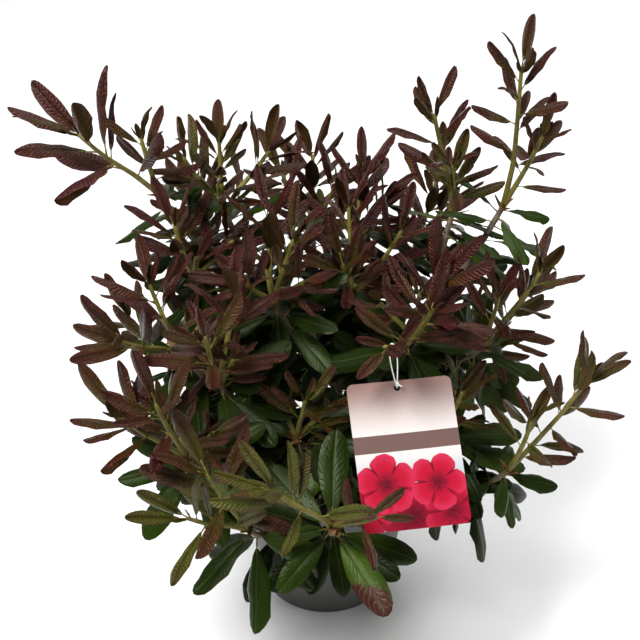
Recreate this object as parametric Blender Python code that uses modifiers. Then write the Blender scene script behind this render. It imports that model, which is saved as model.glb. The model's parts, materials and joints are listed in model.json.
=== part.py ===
"""A potted rhododendron in new growth.

A plain nursery pot filled with potting soil holds a short trunk. Boughs fork from the trunk and
from each other, and each carries one mass of foliage: last year's twig with its ring of broad
green leaves, and the new shoots above it with their narrow wine-red leaves. A blank hang label
is looped over one shoot. Units are metres, +Z is up, the front of the plant faces -Y, and the
origin is the centre of the pot's flat underside.
"""

import math
import random
from typing import NamedTuple

import bmesh
import bpy
from mathutils import Matrix, Vector
from mathutils.bvhtree import BVHTree

# Pot and soil
POT_HEIGHT = 0.165
POT_FOOT_RADIUS = 0.072
POT_RIM_RADIUS = 0.1005
POT_WALL = 0.0018
POT_FLOOR = 0.0025
RIM_BAND_HEIGHT = 0.014
RIM_BAND_DEPTH = 0.0035
FOOT_CHAMFER = 0.0015
RIM_CHAMFER = 0.001
RIM_WALL = 0.003
POT_SIDES = 32
SOIL_LEVEL = 0.148
SOIL_EDGE_DROP = 0.004
SOIL_FLAT_RADIUS = 0.05
SOIL_SIDES = 24
CLEARANCE = 0.0003

# Trunk and boughs
TRUNK_TOP = Vector((0.003, 0.004, 0.212))
TRUNK_FOOT_RADIUS = 0.0125
TRUNK_TOP_RADIUS = 0.0085
TRUNK_SIDES = 8
TRUNK_STEPS = 4
TRUNK_FLARE_HEIGHT = 0.005
TRUNK_SWELL = 0.8
BOUGH_SIDES = 5
BOUGH_TIP_RADIUS = 0.0026
BOUGH_STEPS = 7
FOOT_STEP = 0.001
FOOT_TRIES = 240
PARENT_PULL = 0.3
OUTWARD_PUSH = 0.5
OUTWARD_LEAN = 0.55
BOUGH_BEND = 0.36
CUT_MARGIN = 0.3
STEM_LENGTH = 0.042
STEM_RADIUS = 0.0022
SHOOT_FOOT_RADIUS = 0.0019
SHOOT_TIP_RADIUS = 0.0012
TWIG_SIDES = 3
SHOOT_STEPS = 3
STEM_OVERRUN = 0.003
SHOOT_STAGGER = 0.001
SHOOT_BEND = 0.33
SHOOT_RISE = 0.35

# Leaves
GOLDEN_ANGLE = math.radians(137.5)
SHOOT_FIRST_LEAF = 0.30
SHOOT_LEAF_SPAN = 0.69
SHOOT_CROWDING = 0.8
SHOOT_SPREAD = 66
SHOOT_CLOSING = 44
SHOOT_LENGTH_PLAY = (0.88, 1.1)
RING_TOP = 0.003
RING_BOTTOM = 0.028
RING_SPREAD = 68
RING_OPENING = 26
RING_LENGTH_PLAY = (0.8, 1.08)
BLADE_FOOT = 0.24
ERECT_LEAF = 0.96
TEST_MARGIN = 0.0006
NUDGES = ((0, 0), (16, 0), (-16, 0), (32, 4), (-32, 4), (0, -12), (50, 0), (-50, 0), (24, -14), (-24, -14))

# Hang label
LABEL_WIDTH = 0.100
LABEL_HEIGHT = 0.140
LABEL_THICKNESS = 0.0008
LABEL_CORNER = 0.006
LABEL_CENTRE = Vector((0.075, -0.200, 0.331))
LABEL_YAW = 8.0
LABEL_LEAN = 48.0
LABEL_ROLL = -1.0
LABEL_HOLE_RADIUS = 0.003
LABEL_HOLE_BELOW_TOP = 0.007
LABEL_HOLE_ASIDE = -0.002
LABEL_HOLE_SIDES = 12
LABEL_VIEW_DEPTH = 0.10
LABEL_VIEW_ABOVE = 0.030
STRING_RADIUS = 0.0006
STRING_HALF_WIDTH = 0.0065
STRING_POINTS = 18
STRING_SIDES = 5
LABEL_SHOOT = ("crown_right", 0)
LABEL_SHOOT_AT = 0.8


class LeafKind(NamedTuple):
    """The shape of one kind of leaf, as shares of its length, and its place on its twig in degrees."""

    width: float
    thickness: float
    arch: float
    outline: tuple
    ridge_at: float
    sag: float


YOUNG = LeafKind(
    width=0.19, thickness=0.07, arch=0.07, outline=((0.46, 1.05),), ridge_at=0.5, sag=0.05
)
MATURE = LeafKind(
    width=0.31, thickness=0.03, arch=0.11, outline=((0.34, 0.86), (0.74, 0.88)), ridge_at=0.52, sag=0.25
)


class Shoot(NamedTuple):
    """One new shoot: the way it grows from its twig, in degrees, its length, and its leaves."""

    bearing: float
    lean: float
    length: float
    leaves: int
    leaf_length: float = 0.074
    turn: float = 0.0


class Mass(NamedTuple):
    """One mass of foliage: where its bough springs from, and the node its leaves and shoots spread from."""

    name: str
    parent: str
    along: float
    node: tuple
    foot_radius: float
    ring_leaves: int
    ring_length: float
    ring_turn: float
    shoots: tuple


MASSES = (
    Mass("front_centre", "trunk", 0.55, (0.005, -0.235, 0.272), 0.0052, 6, 0.092, 165, (
        Shoot(-147, 41, 0.098, 8), Shoot(-46, 50, 0.072, 6, 0.054))),
    Mass("crown_right", "crown_centre", 0.40, (0.084, -0.070, 0.372), 0.0042, 8, 0.088, -130, (
        Shoot(-110, 62, 0.105, 6, 0.062), Shoot(-28, 17, 0.073, 7, 0.082), Shoot(-70, 36, 0.075, 6, 0.068))),
    Mass("left_front", "left_outer", 0.42, (-0.133, -0.170, 0.300), 0.0040, 8, 0.086, -170, (
        Shoot(-170, 46, 0.086, 7, 0.072), Shoot(-125, 24, 0.097, 7, 0.068))),
    Mass("front_left", "front_centre", 0.36, (-0.075, -0.195, 0.232), 0.0040, 6, 0.094, -147, (
        Shoot(-132, 27, 0.112, 7, 0.078), Shoot(-140, 52, 0.090, 5, 0.074))),
    Mass("left_outer", "trunk", 0.56, (-0.142, -0.080, 0.360), 0.0058, 6, 0.084, 20, (
        Shoot(175, 20, 0.084, 8, 0.070), Shoot(-132, 55, 0.092, 8, 0.072))),
    Mass("left_inner", "left_outer", 0.50, (-0.104, -0.112, 0.345), 0.0038, 7, 0.086, -100, (
        Shoot(10, 10, 0.100, 8, 0.068), Shoot(-100, 28, 0.098, 6, 0.068))),
    Mass("right_front", "trunk", 0.45, (0.186, -0.100, 0.228), 0.0056, 8, 0.066, -115, (
        Shoot(-4, 30, 0.145, 11, 0.066), Shoot(-62, 20, 0.094, 6, 0.062))),
    Mass("right_outer", "top_right_tall", 0.36, (0.162, 0.000, 0.314), 0.0044, 8, 0.084, -10, (
        Shoot(0, 31, 0.109, 8, 0.066), Shoot(-60, 18, 0.080, 6, 0.062))),
    Mass("left_upper", "upper_left_inner", 0.50, (-0.134, 0.004, 0.392), 0.0040, 8, 0.086, 165, (
        Shoot(180, 16, 0.068, 7, 0.066), Shoot(0, 38, 0.064, 6, 0.062))),
    Mass("upper_left_outer", "upper_left_inner", 0.62, (-0.170, 0.050, 0.468), 0.0038, 5, 0.080, -60, (
        Shoot(-163, 44, 0.112, 8, 0.096), Shoot(-150, 14, 0.070, 6, 0.058))),
    Mass("upper_left_inner", "trunk", 0.70, (-0.105, 0.064, 0.438), 0.0060, 8, 0.092, 160, (
        Shoot(178, 32, 0.078, 6, 0.062), Shoot(125, 6, 0.080, 8, 0.064), Shoot(30, 40, 0.080, 8, 0.068))),
    Mass("crown_left", "crown_centre", 0.32, (-0.052, -0.040, 0.392), 0.0040, 9, 0.090, -80, (
        Shoot(100, 24, 0.090, 7, 0.068), Shoot(10, 14, 0.076, 7, 0.066), Shoot(-130, 42, 0.074, 6, 0.066))),
    Mass("crown_centre", "trunk", 1.0, (0.022, 0.004, 0.364), 0.0056, 9, 0.090, -70, (
        Shoot(-101, 26, 0.078, 7, 0.066), Shoot(90, 12, 0.106, 8, 0.066), Shoot(-4, 30, 0.106, 7, 0.068))),
    Mass("top_right_inner", "top_right_tall", 0.50, (0.132, 0.074, 0.432), 0.0042, 7, 0.090, 25, (
        Shoot(196, 12, 0.122, 9, 0.062), Shoot(-100, 26, 0.084, 6, 0.062))),
    Mass("top_right_tall", "trunk", 0.70, (0.184, 0.070, 0.444), 0.0064, 7, 0.086, 25, (
        Shoot(-79, 8, 0.168, 12, 0.058), Shoot(-30, 22, 0.098, 7, 0.054))),
    Mass("front_inner", "trunk", 0.80, (-0.030, -0.105, 0.275), 0.0044, 11, 0.094, -95, (
        Shoot(-60, 16, 0.060, 5, 0.060),)),
    Mass("right_inner", "right_front", 0.50, (0.118, -0.080, 0.262), 0.0038, 11, 0.092, -30, (
        Shoot(-20, 18, 0.060, 5, 0.060),)),
    Mass("left_low", "upper_left_inner", 0.26, (-0.165, 0.040, 0.262), 0.0040, 8, 0.088, 190, (
        Shoot(170, 40, 0.080, 7, 0.066),)),
    Mass("back_centre", "trunk", 0.60, (-0.015, 0.150, 0.362), 0.0058, 7, 0.090, 130, (
        Shoot(90, 30, 0.092, 8, 0.068), Shoot(170, 24, 0.084, 7, 0.066), Shoot(-10, 20, 0.080, 6, 0.066))),
    Mass("back_left", "back_centre", 0.34, (-0.118, 0.160, 0.318), 0.0042, 8, 0.090, 130, (
        Shoot(120, 36, 0.092, 8, 0.070), Shoot(175, 24, 0.084, 7, 0.068))),
    Mass("back_low", "back_centre", 0.44, (0.015, 0.205, 0.240), 0.0042, 9, 0.090, 90, (
        Shoot(110, 46, 0.090, 7, 0.070), Shoot(60, 26, 0.084, 7, 0.068))),
    Mass("back_right", "top_right_tall", 0.30, (0.100, 0.158, 0.330), 0.0044, 8, 0.090, 60, (
        Shoot(60, 34, 0.092, 8, 0.070), Shoot(10, 26, 0.080, 7, 0.068))),
    Mass("right_low", "right_outer", 0.36, (0.176, 0.082, 0.248), 0.0038, 8, 0.088, 40, (
        Shoot(30, 42, 0.090, 7, 0.068),)),
    Mass("crown_back", "crown_centre", 0.55, (0.030, 0.082, 0.392), 0.0038, 7, 0.088, 80, (
        Shoot(70, 18, 0.078, 7, 0.066), Shoot(-20, 26, 0.070, 5, 0.062))),
)


# Materials


def finish(name, colour, roughness, metallic=0.0):
    """A Principled material in one plain colour."""
    material = bpy.data.materials.new(name)
    material.use_nodes = True
    shader = material.node_tree.nodes["Principled BSDF"]
    shader.inputs["Base Color"].default_value = (*colour, 1.0)
    shader.inputs["Roughness"].default_value = roughness
    shader.inputs["Metallic"].default_value = metallic
    material.diffuse_color = (*colour, 1.0)
    return material


# Mesh helpers


def collection_named(name):
    collection = bpy.data.collections.new(name)
    bpy.context.scene.collection.children.link(collection)
    return collection


def add_object(name, data, collection, material=None):
    piece = bpy.data.objects.new(name, data)
    collection.objects.link(piece)
    if material:
        data.materials.append(material)
    return piece


def as_mesh(piece, collection):
    """Turns a curve object into a mesh object of the same name and place, with its caps welded on."""
    graph = bpy.context.evaluated_depsgraph_get()
    mesh = bpy.data.meshes.new_from_object(piece.evaluated_get(graph))
    shape = bmesh.new()
    shape.from_mesh(mesh)
    bmesh.ops.remove_doubles(shape, verts=shape.verts, dist=1e-6)
    bmesh.ops.recalc_face_normals(shape, faces=shape.faces)
    shape.to_mesh(mesh)
    shape.free()
    place = piece.matrix_world.copy()
    name = piece.name
    bpy.data.objects.remove(piece)
    solid = bpy.data.objects.new(name, mesh)
    solid.matrix_world = place
    collection.objects.link(solid)
    return solid


def section_curve(name, sides, guides):
    """The unit outline that a limb's curve carries along its path."""
    curve = bpy.data.curves.new(name, "CURVE")
    curve.dimensions = "2D"
    spline = curve.splines.new("POLY")
    spline.points.add(sides - 1)
    for index, point in enumerate(spline.points):
        angle = 2 * math.pi * index / sides
        point.co = (math.cos(angle), math.sin(angle), 0.0, 1.0)
    spline.use_cyclic_u = True
    outline = bpy.data.objects.new(name, curve)
    guides.objects.link(outline)
    outline.hide_render = True
    outline.display_type = "WIRE"
    return outline


def limb_solid(name, path, radii, section, collection, material):
    """A limb that tapers along its path, with a flat cut at each end."""
    curve = bpy.data.curves.new(name, "CURVE")
    curve.dimensions = "3D"
    curve.bevel_mode = "OBJECT"
    curve.bevel_object = section
    curve.use_fill_caps = True
    curve.materials.append(material)
    spline = curve.splines.new("POLY")
    spline.points.add(len(path) - 1)
    for point, place, radius in zip(spline.points, path, radii):
        point.co = (*place, 1.0)
        point.radius = radius
    return as_mesh(add_object(name, curve, collection), collection)


def object_tree(piece):
    """The surface of an object's evaluated mesh, for tests of what touches it."""
    graph = bpy.context.evaluated_depsgraph_get()
    mesh = piece.evaluated_get(graph).to_mesh()
    points = [piece.matrix_world @ vertex.co for vertex in mesh.vertices]
    faces = [tuple(face.vertices) for face in mesh.polygons]
    return points, BVHTree.FromPolygons(points, faces)


# Paths


def unit_vector(bearing, lean):
    """The direction that leans from upright towards a bearing, both in degrees."""
    turn, tilt = math.radians(bearing), math.radians(lean)
    return Vector((math.sin(tilt) * math.cos(turn), math.sin(tilt) * math.sin(turn), math.cos(tilt)))


class Path:
    """A limb's way: a cubic curve from its foot to its end, cut into equal straight steps."""

    def __init__(self, foot, leaving, arriving, end, steps):
        self.handles = foot, leaving, arriving, end
        self.steps = steps
        self.points = [self.on_curve(index / steps) for index in range(steps + 1)]

    def on_curve(self, t):
        a, b, c, d = self.handles
        s = 1 - t
        return a * s**3 + b * (3 * s * s * t) + c * (3 * s * t * t) + d * t**3

    def at(self, t):
        place = min(max(t, 0.0), 1.0) * self.steps
        index = min(int(place), self.steps - 1)
        return self.points[index].lerp(self.points[index + 1], place - index)

    def axis(self, t):
        low, high = max(0.0, t - 0.01), min(1.0, t + 0.01)
        return (self.on_curve(high) - self.on_curve(low)).normalized()

    def before_end(self, distance):
        """The share of the way at which this much of its length is left."""
        index = self.steps
        step = (self.points[index] - self.points[index - 1]).length
        while distance > step:
            distance -= step
            index -= 1
            step = (self.points[index] - self.points[index - 1]).length
        return (index - distance / step) / self.steps

    def split_before_end(self, distance):
        """As before_end, moved where need be into the middle of its straight step, for a square cut."""
        place = self.before_end(distance) * self.steps
        return (int(place) + min(max(place % 1.0, CUT_MARGIN), 1.0 - CUT_MARGIN)) / self.steps

    def beyond(self, t, distance):
        """The share of the way this far past t, on the same straight step."""
        index = int(t * self.steps)
        return t + distance / (self.points[index + 1] - self.points[index]).length / self.steps

    def shares(self, low, high):
        """The shares of the way where a limb from low to high has its corners."""
        spare = 0.1 / self.steps
        inner = [i / self.steps for i in range(self.steps + 1)]
        return [low] + [t for t in inner if low + spare < t < high - spare] + [high]


def trunk_path():
    foot = Vector((0.0, 0.0, SOIL_LEVEL + CLEARANCE))
    rise = TRUNK_TOP - foot
    return Path(foot, foot + Vector((0, 0, rise.z / 3)), TRUNK_TOP - rise / 3, TRUNK_TOP, TRUNK_STEPS)


def mass_path(mass, parent):
    """The way of the limb that springs from its parent, bends up and ends at the mass's node."""
    start = parent.at(mass.along)
    node = Vector(mass.node)
    reach = node - start
    outward = Vector((reach.x, reach.y, 0.0)).normalized()
    leaving = parent.axis(mass.along) * PARENT_PULL + reach.normalized() + outward * OUTWARD_PUSH
    leaving.normalize()
    arriving = (outward * OUTWARD_LEAN + Vector((0, 0, 1.0))).normalized()
    span = reach.length * BOUGH_BEND
    return Path(start, start + leaving * span, node - arriving * span, node, BOUGH_STEPS)


def shoot_path(mass, shoot, stem):
    """The way of a new shoot: it leaves along the twig and bends its own way."""
    node = Vector(mass.node)
    way = unit_vector(shoot.bearing, shoot.lean)
    tip = node + way * shoot.length
    leaving = (stem.axis(1.0) + way).normalized()
    rising = (way + Vector((0, 0, SHOOT_RISE))).normalized()
    span = shoot.length * SHOOT_BEND
    return Path(node, node + leaving * span, tip - rising * span, tip, SHOOT_STEPS)


# Leaves


def leaf_points(kind, length, root, along, normal, grow=0.0, blade_only=False):
    """The corners of a leaf's solid: its outline, arched along its length, and its ridge above and below."""
    side = along.cross(normal)
    half = kind.width * length / 2 + grow
    thick = kind.thickness * length + grow
    far = length + grow

    def place(share, across, up):
        drop = kind.arch * length * share * share
        return root + along * (share * far) + side * across + normal * (up - drop)

    points = [place(BLADE_FOOT if blade_only else 0.0, 0.0, 0.0), place(1.0, 0.0, 0.0)]
    for share, width in kind.outline:
        points += [place(share, half * width, 0.0), place(share, -half * width, 0.0)]
    points.append(place(kind.ridge_at, 0.0, thick))
    if grow:
        points.append(place(kind.ridge_at, 0.0, -2 * grow))
    return points


def hull(points):
    """The closed solid stretched over some points, as a bmesh."""
    shape = bmesh.new()
    for point in points:
        shape.verts.new(point)
    wrapped = bmesh.ops.convex_hull(shape, input=shape.verts)
    spare = {item for item in wrapped["geom_interior"] if isinstance(item, bmesh.types.BMVert)}
    bmesh.ops.delete(shape, geom=list(spare), context="VERTS")
    bmesh.ops.recalc_face_normals(shape, faces=shape.faces)
    return shape


def hull_tree(points):
    shape = hull(points)
    tree = BVHTree.FromBMesh(shape)
    shape.free()
    return tree


class Space:
    """What is taken so far. A leaf is kept only where it stays clear of everything that isn't its own."""

    def __init__(self):
        self.solids = []
        self.blades = []

    def add(self, owner, points, tree):
        self.solids.append((owner, *box_of(points), tree))

    def add_blade(self, owner, points, tree):
        self.blades.append((owner, *box_of(points), tree))

    def is_clear(self, found, points, tree, skip):
        low, high = box_of(points)
        return not any(
            owner not in skip
            and all(low[i] < top[i] and high[i] > bottom[i] for i in range(3))
            and tree.overlap(other)
            for owner, bottom, top, other in found
        )


def box_of(points):
    low = tuple(min(point[i] for point in points) for i in range(3))
    high = tuple(max(point[i] for point in points) for i in range(3))
    return low, high


def leaf_frame(axis, around, spread, sag):
    """The direction and the upper normal of a leaf at this angle round its twig and away from its axis."""
    side = (Vector((1, 0, 0)) - axis * axis.x).normalized()
    outward = side * math.cos(around) + axis.cross(side) * math.sin(around)
    along = axis * math.cos(spread) + outward * math.sin(spread)
    along = (along - Vector((0, 0, sag))).normalized()
    upper = axis if abs(axis.dot(along)) < ERECT_LEAF else outward * -1.0
    normal = (upper - along * upper.dot(along)).normalized()
    return along, normal


def try_leaf(space, kind, mass_name, own_twigs, root, axis, around, spread, length):
    """The corners of the first nudged leaf that is clear, or None where the leaf is skipped."""
    for turn, lift in NUDGES:
        angle = around + math.radians(turn)
        along, normal = leaf_frame(axis, angle, spread + math.radians(lift), kind.sag)
        grown = leaf_points(kind, length, root, along, normal, TEST_MARGIN)
        if not space.is_clear(space.solids, grown, hull_tree(grown), own_twigs | {mass_name}):
            continue
        blade = leaf_points(kind, length, root, along, normal, TEST_MARGIN, blade_only=True)
        blade_tree = hull_tree(blade)
        if not space.is_clear(space.blades, blade, blade_tree, own_twigs):
            continue
        solid = leaf_points(kind, length, root, along, normal)
        space.add(mass_name, solid, hull_tree(solid))
        space.add_blade(mass_name, blade, blade_tree)
        return solid
    return None


def shoot_leaves(shoot, path, draw):
    """Each leaf of a new shoot: its root, its twig's axis, the angle round it, the spread and the length."""
    for index in range(shoot.leaves):
        share = index / (shoot.leaves - 1)
        t = SHOOT_FIRST_LEAF + SHOOT_LEAF_SPAN * share**SHOOT_CROWDING
        spread = math.radians(SHOOT_SPREAD - SHOOT_CLOSING * share + draw.uniform(-7, 7))
        around = math.radians(shoot.turn) + index * GOLDEN_ANGLE + draw.uniform(-0.2, 0.2)
        length = shoot.leaf_length * (0.98 - 0.22 * abs(share - 0.35)) * draw.uniform(*SHOOT_LENGTH_PLAY)
        yield path.at(t), path.axis(t), around, spread, length


def ring_leaves(mass, path, draw):
    """Each leaf of last year's ring, set round the top of the twig below its node."""
    top = path.before_end(RING_TOP)
    bottom = path.before_end(RING_BOTTOM)
    for index in range(mass.ring_leaves):
        share = index / mass.ring_leaves
        t = top + (bottom - top) * share
        spread = math.radians(RING_SPREAD + RING_OPENING * share + draw.uniform(-8, 8))
        around = math.radians(mass.ring_turn) + index * GOLDEN_ANGLE + draw.uniform(-0.25, 0.25)
        length = mass.ring_length * draw.uniform(*RING_LENGTH_PLAY)
        yield path.at(t), path.axis(t), around, spread, length


# Pot, soil and label


def turned_solid(name, profile, sides, collection, material):
    """A profile of radius and height pairs, turned about the upright axis."""
    mesh = bpy.data.meshes.new(name)
    shape = bmesh.new()
    corners = [shape.verts.new((radius, 0.0, height)) for radius, height in profile]
    for first, second in zip(corners, corners[1:]):
        shape.edges.new((first, second))
    shape.to_mesh(mesh)
    shape.free()
    piece = add_object(name, mesh, collection, material)
    screw = piece.modifiers.new("turn", "SCREW")
    screw.steps = screw.render_steps = sides
    screw.use_merge_vertices = True
    screw.merge_threshold = 1e-5
    screw.use_normal_calculate = True
    screw.use_smooth_shade = True
    return piece


def make_pot(collection, material):
    """The nursery pot: a flat foot, a straight slanting wall and a stepped band under the rim."""
    slope = (POT_RIM_RADIUS - RIM_BAND_DEPTH - POT_FOOT_RADIUS) / (POT_HEIGHT - RIM_BAND_HEIGHT)
    band_foot = POT_HEIGHT - RIM_BAND_HEIGHT
    wall_top = POT_FOOT_RADIUS + slope * band_foot
    inner_foot = POT_FOOT_RADIUS + slope * POT_FLOOR - POT_WALL
    profile = (
        (0.0, 0.0),
        (POT_FOOT_RADIUS - FOOT_CHAMFER, 0.0),
        (POT_FOOT_RADIUS, FOOT_CHAMFER),
        (wall_top, band_foot),
        (POT_RIM_RADIUS, band_foot + FOOT_CHAMFER),
        (POT_RIM_RADIUS, POT_HEIGHT - RIM_CHAMFER),
        (POT_RIM_RADIUS - RIM_CHAMFER, POT_HEIGHT),
        (POT_RIM_RADIUS - RIM_WALL, POT_HEIGHT),
        (wall_top - POT_WALL, band_foot - RIM_WALL + RIM_CHAMFER),
        (inner_foot, POT_FLOOR),
        (0.0, POT_FLOOR),
    )
    return turned_solid("pot", profile, POT_SIDES, collection, material)


def make_soil(collection, material):
    """The potting soil that fills the pot to just under its rim."""
    slope = (POT_RIM_RADIUS - RIM_BAND_DEPTH - POT_FOOT_RADIUS) / (POT_HEIGHT - RIM_BAND_HEIGHT)
    gap = POT_WALL + 2 * CLEARANCE
    foot = POT_FLOOR + CLEARANCE
    edge = SOIL_LEVEL - SOIL_EDGE_DROP
    shrink = math.cos(math.pi / SOIL_SIDES)
    profile = (
        (0.0, foot),
        ((POT_FOOT_RADIUS + slope * foot - gap) * shrink, foot),
        ((POT_FOOT_RADIUS + slope * edge - gap) * shrink, edge),
        (SOIL_FLAT_RADIUS, SOIL_LEVEL),
        (0.0, SOIL_LEVEL),
    )
    return turned_solid("potting_soil", profile, SOIL_SIDES, collection, material)


def label_place():
    """The label's frame: X to its right, Y up its face, Z out of its face."""
    turn = Matrix.Rotation(math.radians(LABEL_YAW), 4, "Z")
    lean = Matrix.Rotation(math.radians(90 - LABEL_LEAN), 4, "X")
    roll = Matrix.Rotation(math.radians(-LABEL_ROLL), 4, "Z")
    return Matrix.Translation(LABEL_CENTRE) @ turn @ lean @ roll


def rounded_rectangle(width, height, corner, steps=4):
    """The corners of a flat rectangle with round corners."""
    points = []
    for quarter, (sx, sy) in enumerate(((1, 1), (-1, 1), (-1, -1), (1, -1))):
        for step in range(steps + 1):
            angle = math.pi / 2 * (quarter + step / steps)
            points.append((
                sx * (width / 2 - corner) + corner * math.cos(angle),
                sy * (height / 2 - corner) + corner * math.sin(angle),
            ))
    return points


def hole_centre():
    return Vector((LABEL_HOLE_ASIDE, LABEL_HEIGHT / 2 - LABEL_HOLE_BELOW_TOP, 0.0))


def make_label(collection, material):
    """The blank card, with its hole near the top edge."""
    hole = hole_centre()
    ring = [
        (hole.x + LABEL_HOLE_RADIUS * math.cos(a), hole.y + LABEL_HOLE_RADIUS * math.sin(a))
        for a in (2 * math.pi * i / LABEL_HOLE_SIDES for i in range(LABEL_HOLE_SIDES))
    ]
    curve = bpy.data.curves.new("hang_label", "CURVE")
    curve.dimensions = "2D"
    curve.fill_mode = "BOTH"
    curve.extrude = LABEL_THICKNESS / 2
    for outline in (rounded_rectangle(LABEL_WIDTH, LABEL_HEIGHT, LABEL_CORNER), ring):
        spline = curve.splines.new("POLY")
        spline.points.add(len(outline) - 1)
        for point, (x, y) in zip(spline.points, outline):
            point.co = (x, y, 0.0, 1.0)
        spline.use_cyclic_u = True
    label = add_object("hang_label", curve, collection, material)
    label.matrix_world = label_place()
    return label


def make_label_string(shoot, section, collection, material):
    """The loop that runs through the label's hole and over the shoot that carries it."""
    axis = shoot.axis(LABEL_SHOOT_AT)
    lift = (Vector((0, 0, 1)) - axis * axis.z).normalized()
    hook = shoot.at(LABEL_SHOOT_AT) + lift * (SHOOT_FOOT_RADIUS + STRING_RADIUS + CLEARANCE)
    place = label_place()
    hole = place @ hole_centre()
    face = (place.to_3x3() @ Vector((0, 0, 1))).normalized()
    rise = hook - hole
    up = rise.normalized()
    middle = hole + rise / 2
    half = rise.length / 2
    over = up.cross(axis).normalized()
    if over.dot(face) < 0:
        over.negate()
    curve = bpy.data.curves.new("label_string", "CURVE")
    curve.dimensions = "3D"
    curve.bevel_mode = "OBJECT"
    curve.bevel_object = section
    spline = curve.splines.new("POLY")
    spline.points.add(STRING_POINTS - 1)
    for index, point in enumerate(spline.points):
        angle = 2 * math.pi * index / STRING_POINTS
        share = (1 + math.cos(angle)) / 2
        aside = (face * (1 - share) + over * share).normalized()
        spot = middle + up * half * math.cos(angle) + aside * STRING_HALF_WIDTH * math.sin(angle)
        point.co = (*spot, 1.0)
        point.radius = STRING_RADIUS
    spline.use_cyclic_u = True
    return as_mesh(add_object("label_string", curve, collection, material), collection)


def label_view_points():
    """The corners of the space in front of the label, which only the front spray may enter."""
    place = label_place()
    side, foot, top = LABEL_WIDTH / 2, -LABEL_HEIGHT / 2, LABEL_HEIGHT / 2 + LABEL_VIEW_ABOVE
    return [
        place @ Vector((x, y, z)) for z in (0.0, LABEL_VIEW_DEPTH) for x in (-side, side) for y in (foot, top)
    ]


# Foliage


def join_mass(name, stem, others, work, collection):
    """Joins a stem with its shoots and leaves into one closed solid, and removes what it was joined from."""
    for piece in others:
        work.objects.link(piece)
    union = stem.modifiers.new("join", "BOOLEAN")
    union.operation = "UNION"
    union.operand_type = "COLLECTION"
    union.collection = work
    union.solver = "EXACT"
    union.material_mode = "TRANSFER"
    graph = bpy.context.evaluated_depsgraph_get()
    mesh = bpy.data.meshes.new_from_object(stem.evaluated_get(graph))
    for piece in others + [stem]:
        bpy.data.objects.remove(piece)
    mesh.name = name
    return add_object(name, mesh, collection)


def make_foliage(mass, twigs, space, work, collection, finishes):
    """One mass: its stem, its new shoots, and the leaves of both that find room."""
    draw = random.Random(mass.name)
    name = "foliage_" + mass.name
    stem, stem_path = twigs[0]
    leaves = []
    for place in ring_leaves(mass, stem_path, draw):
        leaves.append((try_leaf(space, MATURE, name, {stem.name}, *place), "mature_leaf"))
    for shoot, (twig, path) in zip(mass.shoots, twigs[1:]):
        for place in shoot_leaves(shoot, path, draw):
            leaves.append((try_leaf(space, YOUNG, name, {stem.name, twig.name}, *place), "young_leaf"))
    pieces = [twig for twig, _ in twigs[1:]]
    for points, kind in leaves:
        if points is None:
            continue
        mesh = bpy.data.meshes.new("leaf")
        shape = hull(points)
        shape.to_mesh(mesh)
        shape.free()
        mesh.materials.append(finishes[kind])
        pieces.append(bpy.data.objects.new("leaf", mesh))
    return join_mass(name, stem, pieces, work, collection)


def make_trunk(path, section, collection, material):
    """The trunk, flared to a level cut where it stands on the soil."""
    spots = list(path.points)
    spots[1:1] = [spots[0] + Vector((0, 0, TRUNK_FLARE_HEIGHT))]
    slim = TRUNK_FOOT_RADIUS - TRUNK_TOP_RADIUS
    radii = [TRUNK_FOOT_RADIUS] + [
        TRUNK_TOP_RADIUS + slim * (TRUNK_SWELL * (1 - i / TRUNK_STEPS)) ** 2 for i in range(TRUNK_STEPS + 1)
    ]
    return limb_solid("trunk", spots, radii, section, collection, material)


def bough_solid(name, mass, path, low, grow, section, collection, material):
    """The limb from this share of its way to the foot of the mass's stem, tapering evenly."""
    high = path.split_before_end(STEM_LENGTH)
    shares = path.shares(low, high)
    spots = [path.at(t) for t in shares]
    spots[0] = spots[0] - path.axis(low) * grow
    taper = (BOUGH_TIP_RADIUS - mass.foot_radius) / (high - low)
    radii = [mass.foot_radius + taper * (t - low) + grow for t in shares]
    return limb_solid(name, spots, radii, section, collection, material)


def make_bough(mass, path, limbs, section, collection, material):
    """The limb of a mass, its foot cut as near to its parent as it clears every limb so far."""
    for step in range(FOOT_TRIES):
        low = step * FOOT_STEP
        trial = bough_solid("trial", mass, path, low, CLEARANCE, section, collection, material)
        surface = object_tree(trial)[1]
        bpy.data.objects.remove(trial)
        if not any(surface.overlap(limb) for limb in limbs):
            break
    return bough_solid("bough_" + mass.name, mass, path, low, 0.0, section, collection, material)


def make_stem(mass, path, section, collection, material):
    """The top of the limb inside the mass, running a little past the node to hold the shoots."""
    foot = path.beyond(path.split_before_end(STEM_LENGTH), CLEARANCE)
    spots = [path.at(t) for t in path.shares(foot, 1.0)]
    spots.append(spots[-1] + path.axis(1.0) * STEM_OVERRUN)
    name = f"stem_{mass.name}"
    return limb_solid(name, spots, [STEM_RADIUS] * len(spots), section, collection, material)


def make_shoot(mass, index, path, stem_axis, section, collection, material):
    """A new shoot, its foot sunk in the stem."""
    spots = list(path.points)
    spots[0] = spots[0] - stem_axis * (STEM_OVERRUN + SHOOT_STAGGER * index)
    radii = [
        SHOOT_FOOT_RADIUS + (SHOOT_TIP_RADIUS - SHOOT_FOOT_RADIUS) * i / SHOOT_STEPS
        for i in range(SHOOT_STEPS + 1)
    ]
    return limb_solid(f"shoot_{mass.name}_{index}", spots, radii, section, collection, material)


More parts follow.
